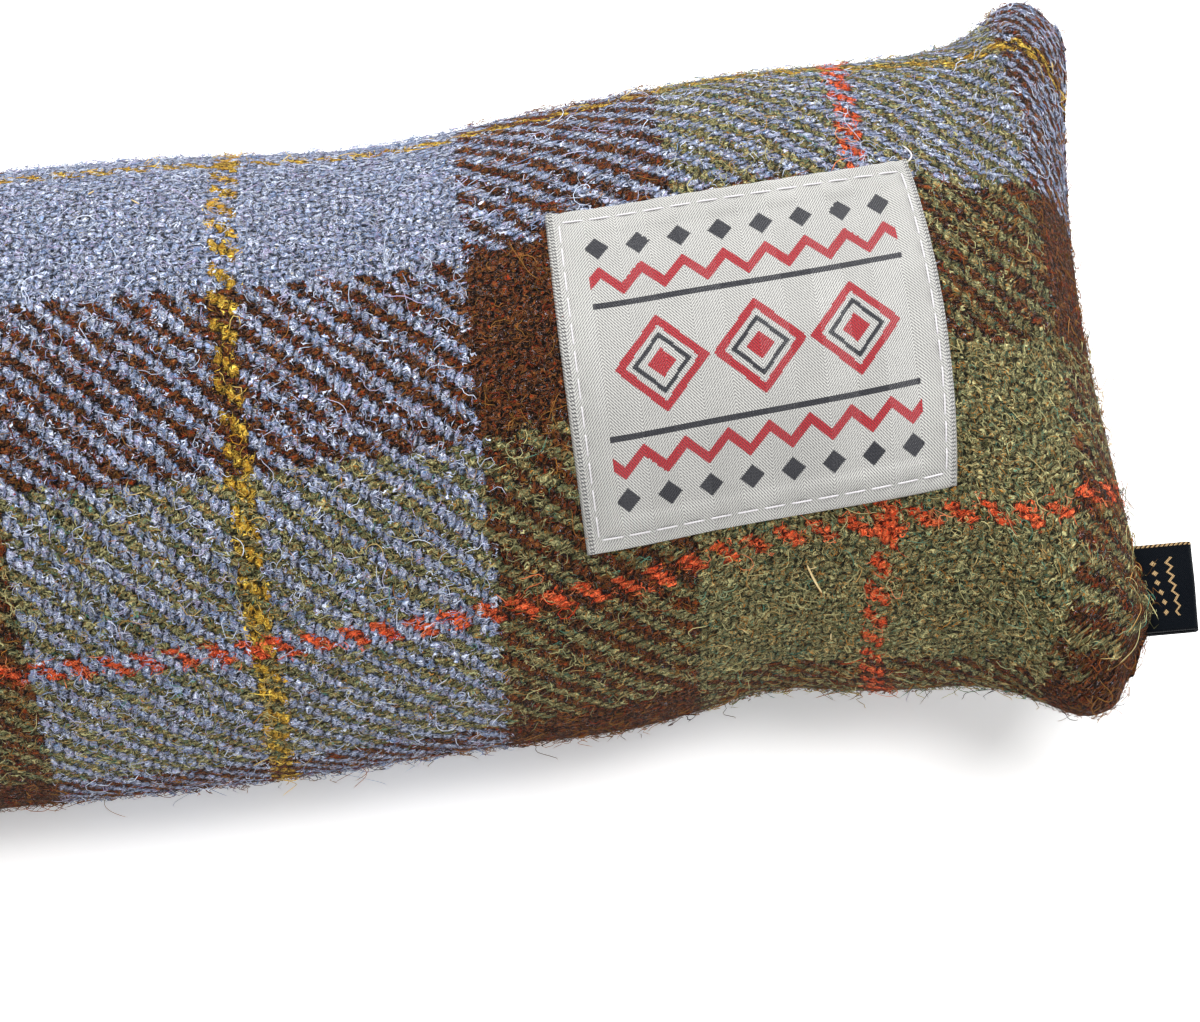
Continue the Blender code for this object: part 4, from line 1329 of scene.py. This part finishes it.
def tape_material():
    """Polyester damask: fine ribs with a soft lustre."""
    finish = {"Roughness": 0.5, "Specular IOR Level": 0.05}
    made, tree, shader = new_material("woven_navy_tape", finish)
    place = add(tree, "ShaderNodeUVMap", uv_map="tape")
    stepped = add(tree, VECTOR, {0: place, 1: (TAPE_THREAD / 2,) * 3}, operation="SNAP")
    split = add(tree, "ShaderNodeSeparateXYZ", {0: stepped})
    out, over = split.outputs[0], split.outputs[1]
    plain = add(tree, "ShaderNodeSeparateXYZ", {0: place})
    slope = add(tree, MATH, {0: plain.outputs[0], 1: plain.outputs[1]}, operation="ADD")
    turn = add(tree, MATH, {0: slope, 1: 2 * math.pi / (2 * TAPE_THREAD)}, operation="MULTIPLY")
    rib = add(tree, MATH, {0: turn}, operation="SINE")
    grain = add(tree, NOISE, {"Vector": place, "Scale": 6, "Detail": 3}, noise_dimensions="2D")
    relief = add(tree, MATH, {0: grain, 1: 2.0, 2: rib}, operation="MULTIPLY_ADD")
    # Painted light and shade: the slanting ribs, with some random grain, set how far the colour goes from its
    # shaded to its lit tone
    painted_light_level = add(tree, STEP, {0: relief, 1: -0.2, 2: 2.4, 3: 0.0, 4: 1.0})

    # Two rows across the tape: a fine zigzag and a row of lozenges
    wave = add(tree, MATH, {0: over, 1: TAPE_ZIGZAG["half_pitch"]}, operation="PINGPONG")
    middle = add(tree, MATH, {0: wave, 1: TAPE_ZIGZAG["row"]}, operation="ADD")
    off = gap_to(tree, out, middle)
    zigzag = add(tree, MATH, {0: off, 1: TAPE_ZIGZAG["half_thickness"]}, operation="LESS_THAN")
    lozenge = add(tree, MATH, {0: wave, 1: gap_to(tree, out, TAPE_LOZENGES["row"])}, operation="ADD")
    lozenge = add(tree, MATH, {0: lozenge, 1: TAPE_LOZENGES["reach"]}, operation="LESS_THAN")
    centred = gap_to(tree, over, TAB_WIDTH / 2 / MILLIMETRE)
    inside = add(tree, MATH, {0: centred, 1: TAPE_ORNAMENT_HALF_WIDTH}, operation="LESS_THAN")
    gold = add(tree, MATH, {0: zigzag, 1: lozenge}, operation="MAXIMUM")
    gold = add(tree, MATH, {0: gold, 1: inside}, operation="MULTIPLY")
    edge = add(tree, MATH, {0: plain.outputs[1], 1: TAPE_EDGE["width"]}, operation="LESS_THAN")
    lean = {0: plain.outputs[1], 1: TAPE_EDGE["slant"], 2: plain.outputs[0]}
    slant = add(tree, MATH, lean, operation="MULTIPLY_ADD")
    slant = add(tree, MATH, {0: slant, 1: TAPE_EDGE["half_pitch"]}, operation="PINGPONG")
    slant = add(tree, MATH, {0: slant, 1: TAPE_EDGE["gold"]}, operation="LESS_THAN")
    edge = add(tree, MATH, {0: edge, 1: slant}, operation="MULTIPLY")
    gold = add(tree, MATH, {0: gold, 1: edge}, operation="MAXIMUM")
    ground = thread_tone(tree, painted_light_level, NAVY["dark"], NAVY["light"])
    figure = thread_tone(tree, painted_light_level, NAVY["gold_painted_shade"], NAVY["gold"])
    colour = add(tree, MIX, {0: gold, 6: ground, 7: figure}, data_type="RGBA").outputs[2]
    raised = add(tree, MATH, {0: gold, 1: 1.4, 2: relief}, operation="MULTIPLY_ADD")
    coat(tree, shader, colour, raised, WOVEN_RELIEF, 0.7)
    return made


tab = mesh_piece("folded_tab", tab_points, tab_faces, tape_material(), {"tape": tab_map})
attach(tab, "root")
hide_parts("side_tab")

# %% [markdown]
# ## Studio
# The excluder lies on a plain white table in a white room. One soft light in front whitens the table close
# to the cover, and a larger one behind lights its top. The camera looks steeply down on the right end
# through a long lens.

# %% Floor
FLOOR_HALF = 4.0
FLOOR_GLOW = 0.30
floor_points = np.array([(-1, -1, 0), (1, -1, 0), (1, 1, 0), (-1, 1, 0)], float) * FLOOR_HALF
table = {"Base Color": linear("#f7f6f5"), "Roughness": 0.8, "Specular IOR Level": 0.1}
glow = {"Emission Color": (1, 1, 1, 1), "Emission Strength": FLOOR_GLOW}
floor_paint, *_ = new_material("white_table", table | glow)
floor = mesh_piece("table_top", floor_points, np.array([[0, 1, 2, 3]]), floor_paint)

# %% Light
SKY_STRENGTH = 0.62
SOFT_BOXES = {
    # name: (place as seen from the right end, size, watts)
    "soft_box_in_front": ((0.40, -0.50, 1.60), 0.5, 20.0),
    "soft_box_behind": ((-0.15, 0.95, 1.35), 0.9, 36.0),
}
world = bpy.data.worlds.new("white_room")
bpy.context.scene.world = world
world.use_nodes = True
world.node_tree.nodes["Background"].inputs["Color"].default_value = (1, 1, 1, 1)
world.node_tree.nodes["Background"].inputs["Strength"].default_value = SKY_STRENGTH
for name, (place, size, watts) in SOFT_BOXES.items():
    lamp_data = bpy.data.lights.new(name, "AREA")
    lamp_data.shape = "SQUARE"
    lamp_data.size = size
    lamp_data.energy = watts
    lamp = bpy.data.objects.new(name, lamp_data)
    lamp.location = np.array((X_RIGHT, 0, 0)) + place
    bpy.context.scene.collection.objects.link(lamp)
    aim = np.array((X_RIGHT - 0.1, 0.0, 0.0)) - np.array(lamp.location)
    turn = math.atan2(aim[1], aim[0]) - math.pi / 2
    lamp.rotation_euler = (math.atan2(math.hypot(aim[0], aim[1]), -aim[2]), 0, turn)
bpy.context.scene.view_settings.view_transform = "Standard"

# %% Camera
EYE = (X_RIGHT - 0.06487, -0.3133, CENTRE_HEIGHT + 0.49865)
AIM_TURN = math.radians(-1.29)
AIM_DOWN = math.radians(59.35)
ROLL = math.radians(-7.54)
PICTURE_WIDTH = 1200
FOCAL_PIXELS = 4433.1
SENSOR = 36.0

ahead = np.array(
    (math.sin(AIM_TURN) * math.cos(AIM_DOWN), math.cos(AIM_TURN) * math.cos(AIM_DOWN), -math.sin(AIM_DOWN))
)
level = np.cross(ahead, (0, 0, 1))
level /= np.linalg.norm(level)
above = np.cross(level, ahead)
right = math.cos(ROLL) * level + math.sin(ROLL) * above
top = -math.sin(ROLL) * level + math.cos(ROLL) * above
camera_data = bpy.data.cameras.new("camera")
camera_data.sensor_width = SENSOR
camera_data.lens = FOCAL_PIXELS / PICTURE_WIDTH * SENSOR
camera_data.clip_start = 0.02
camera = bpy.data.objects.new("camera", camera_data)
matrix = np.eye(4)
matrix[:3, 0], matrix[:3, 1], matrix[:3, 2], matrix[:3, 3] = right, top, -ahead, EYE
camera.matrix_world = matrix.T.tolist()
bpy.context.scene.collection.objects.link(camera)
bpy.context.scene.camera = camera
print("lens", round(camera_data.lens, 1), "mm")
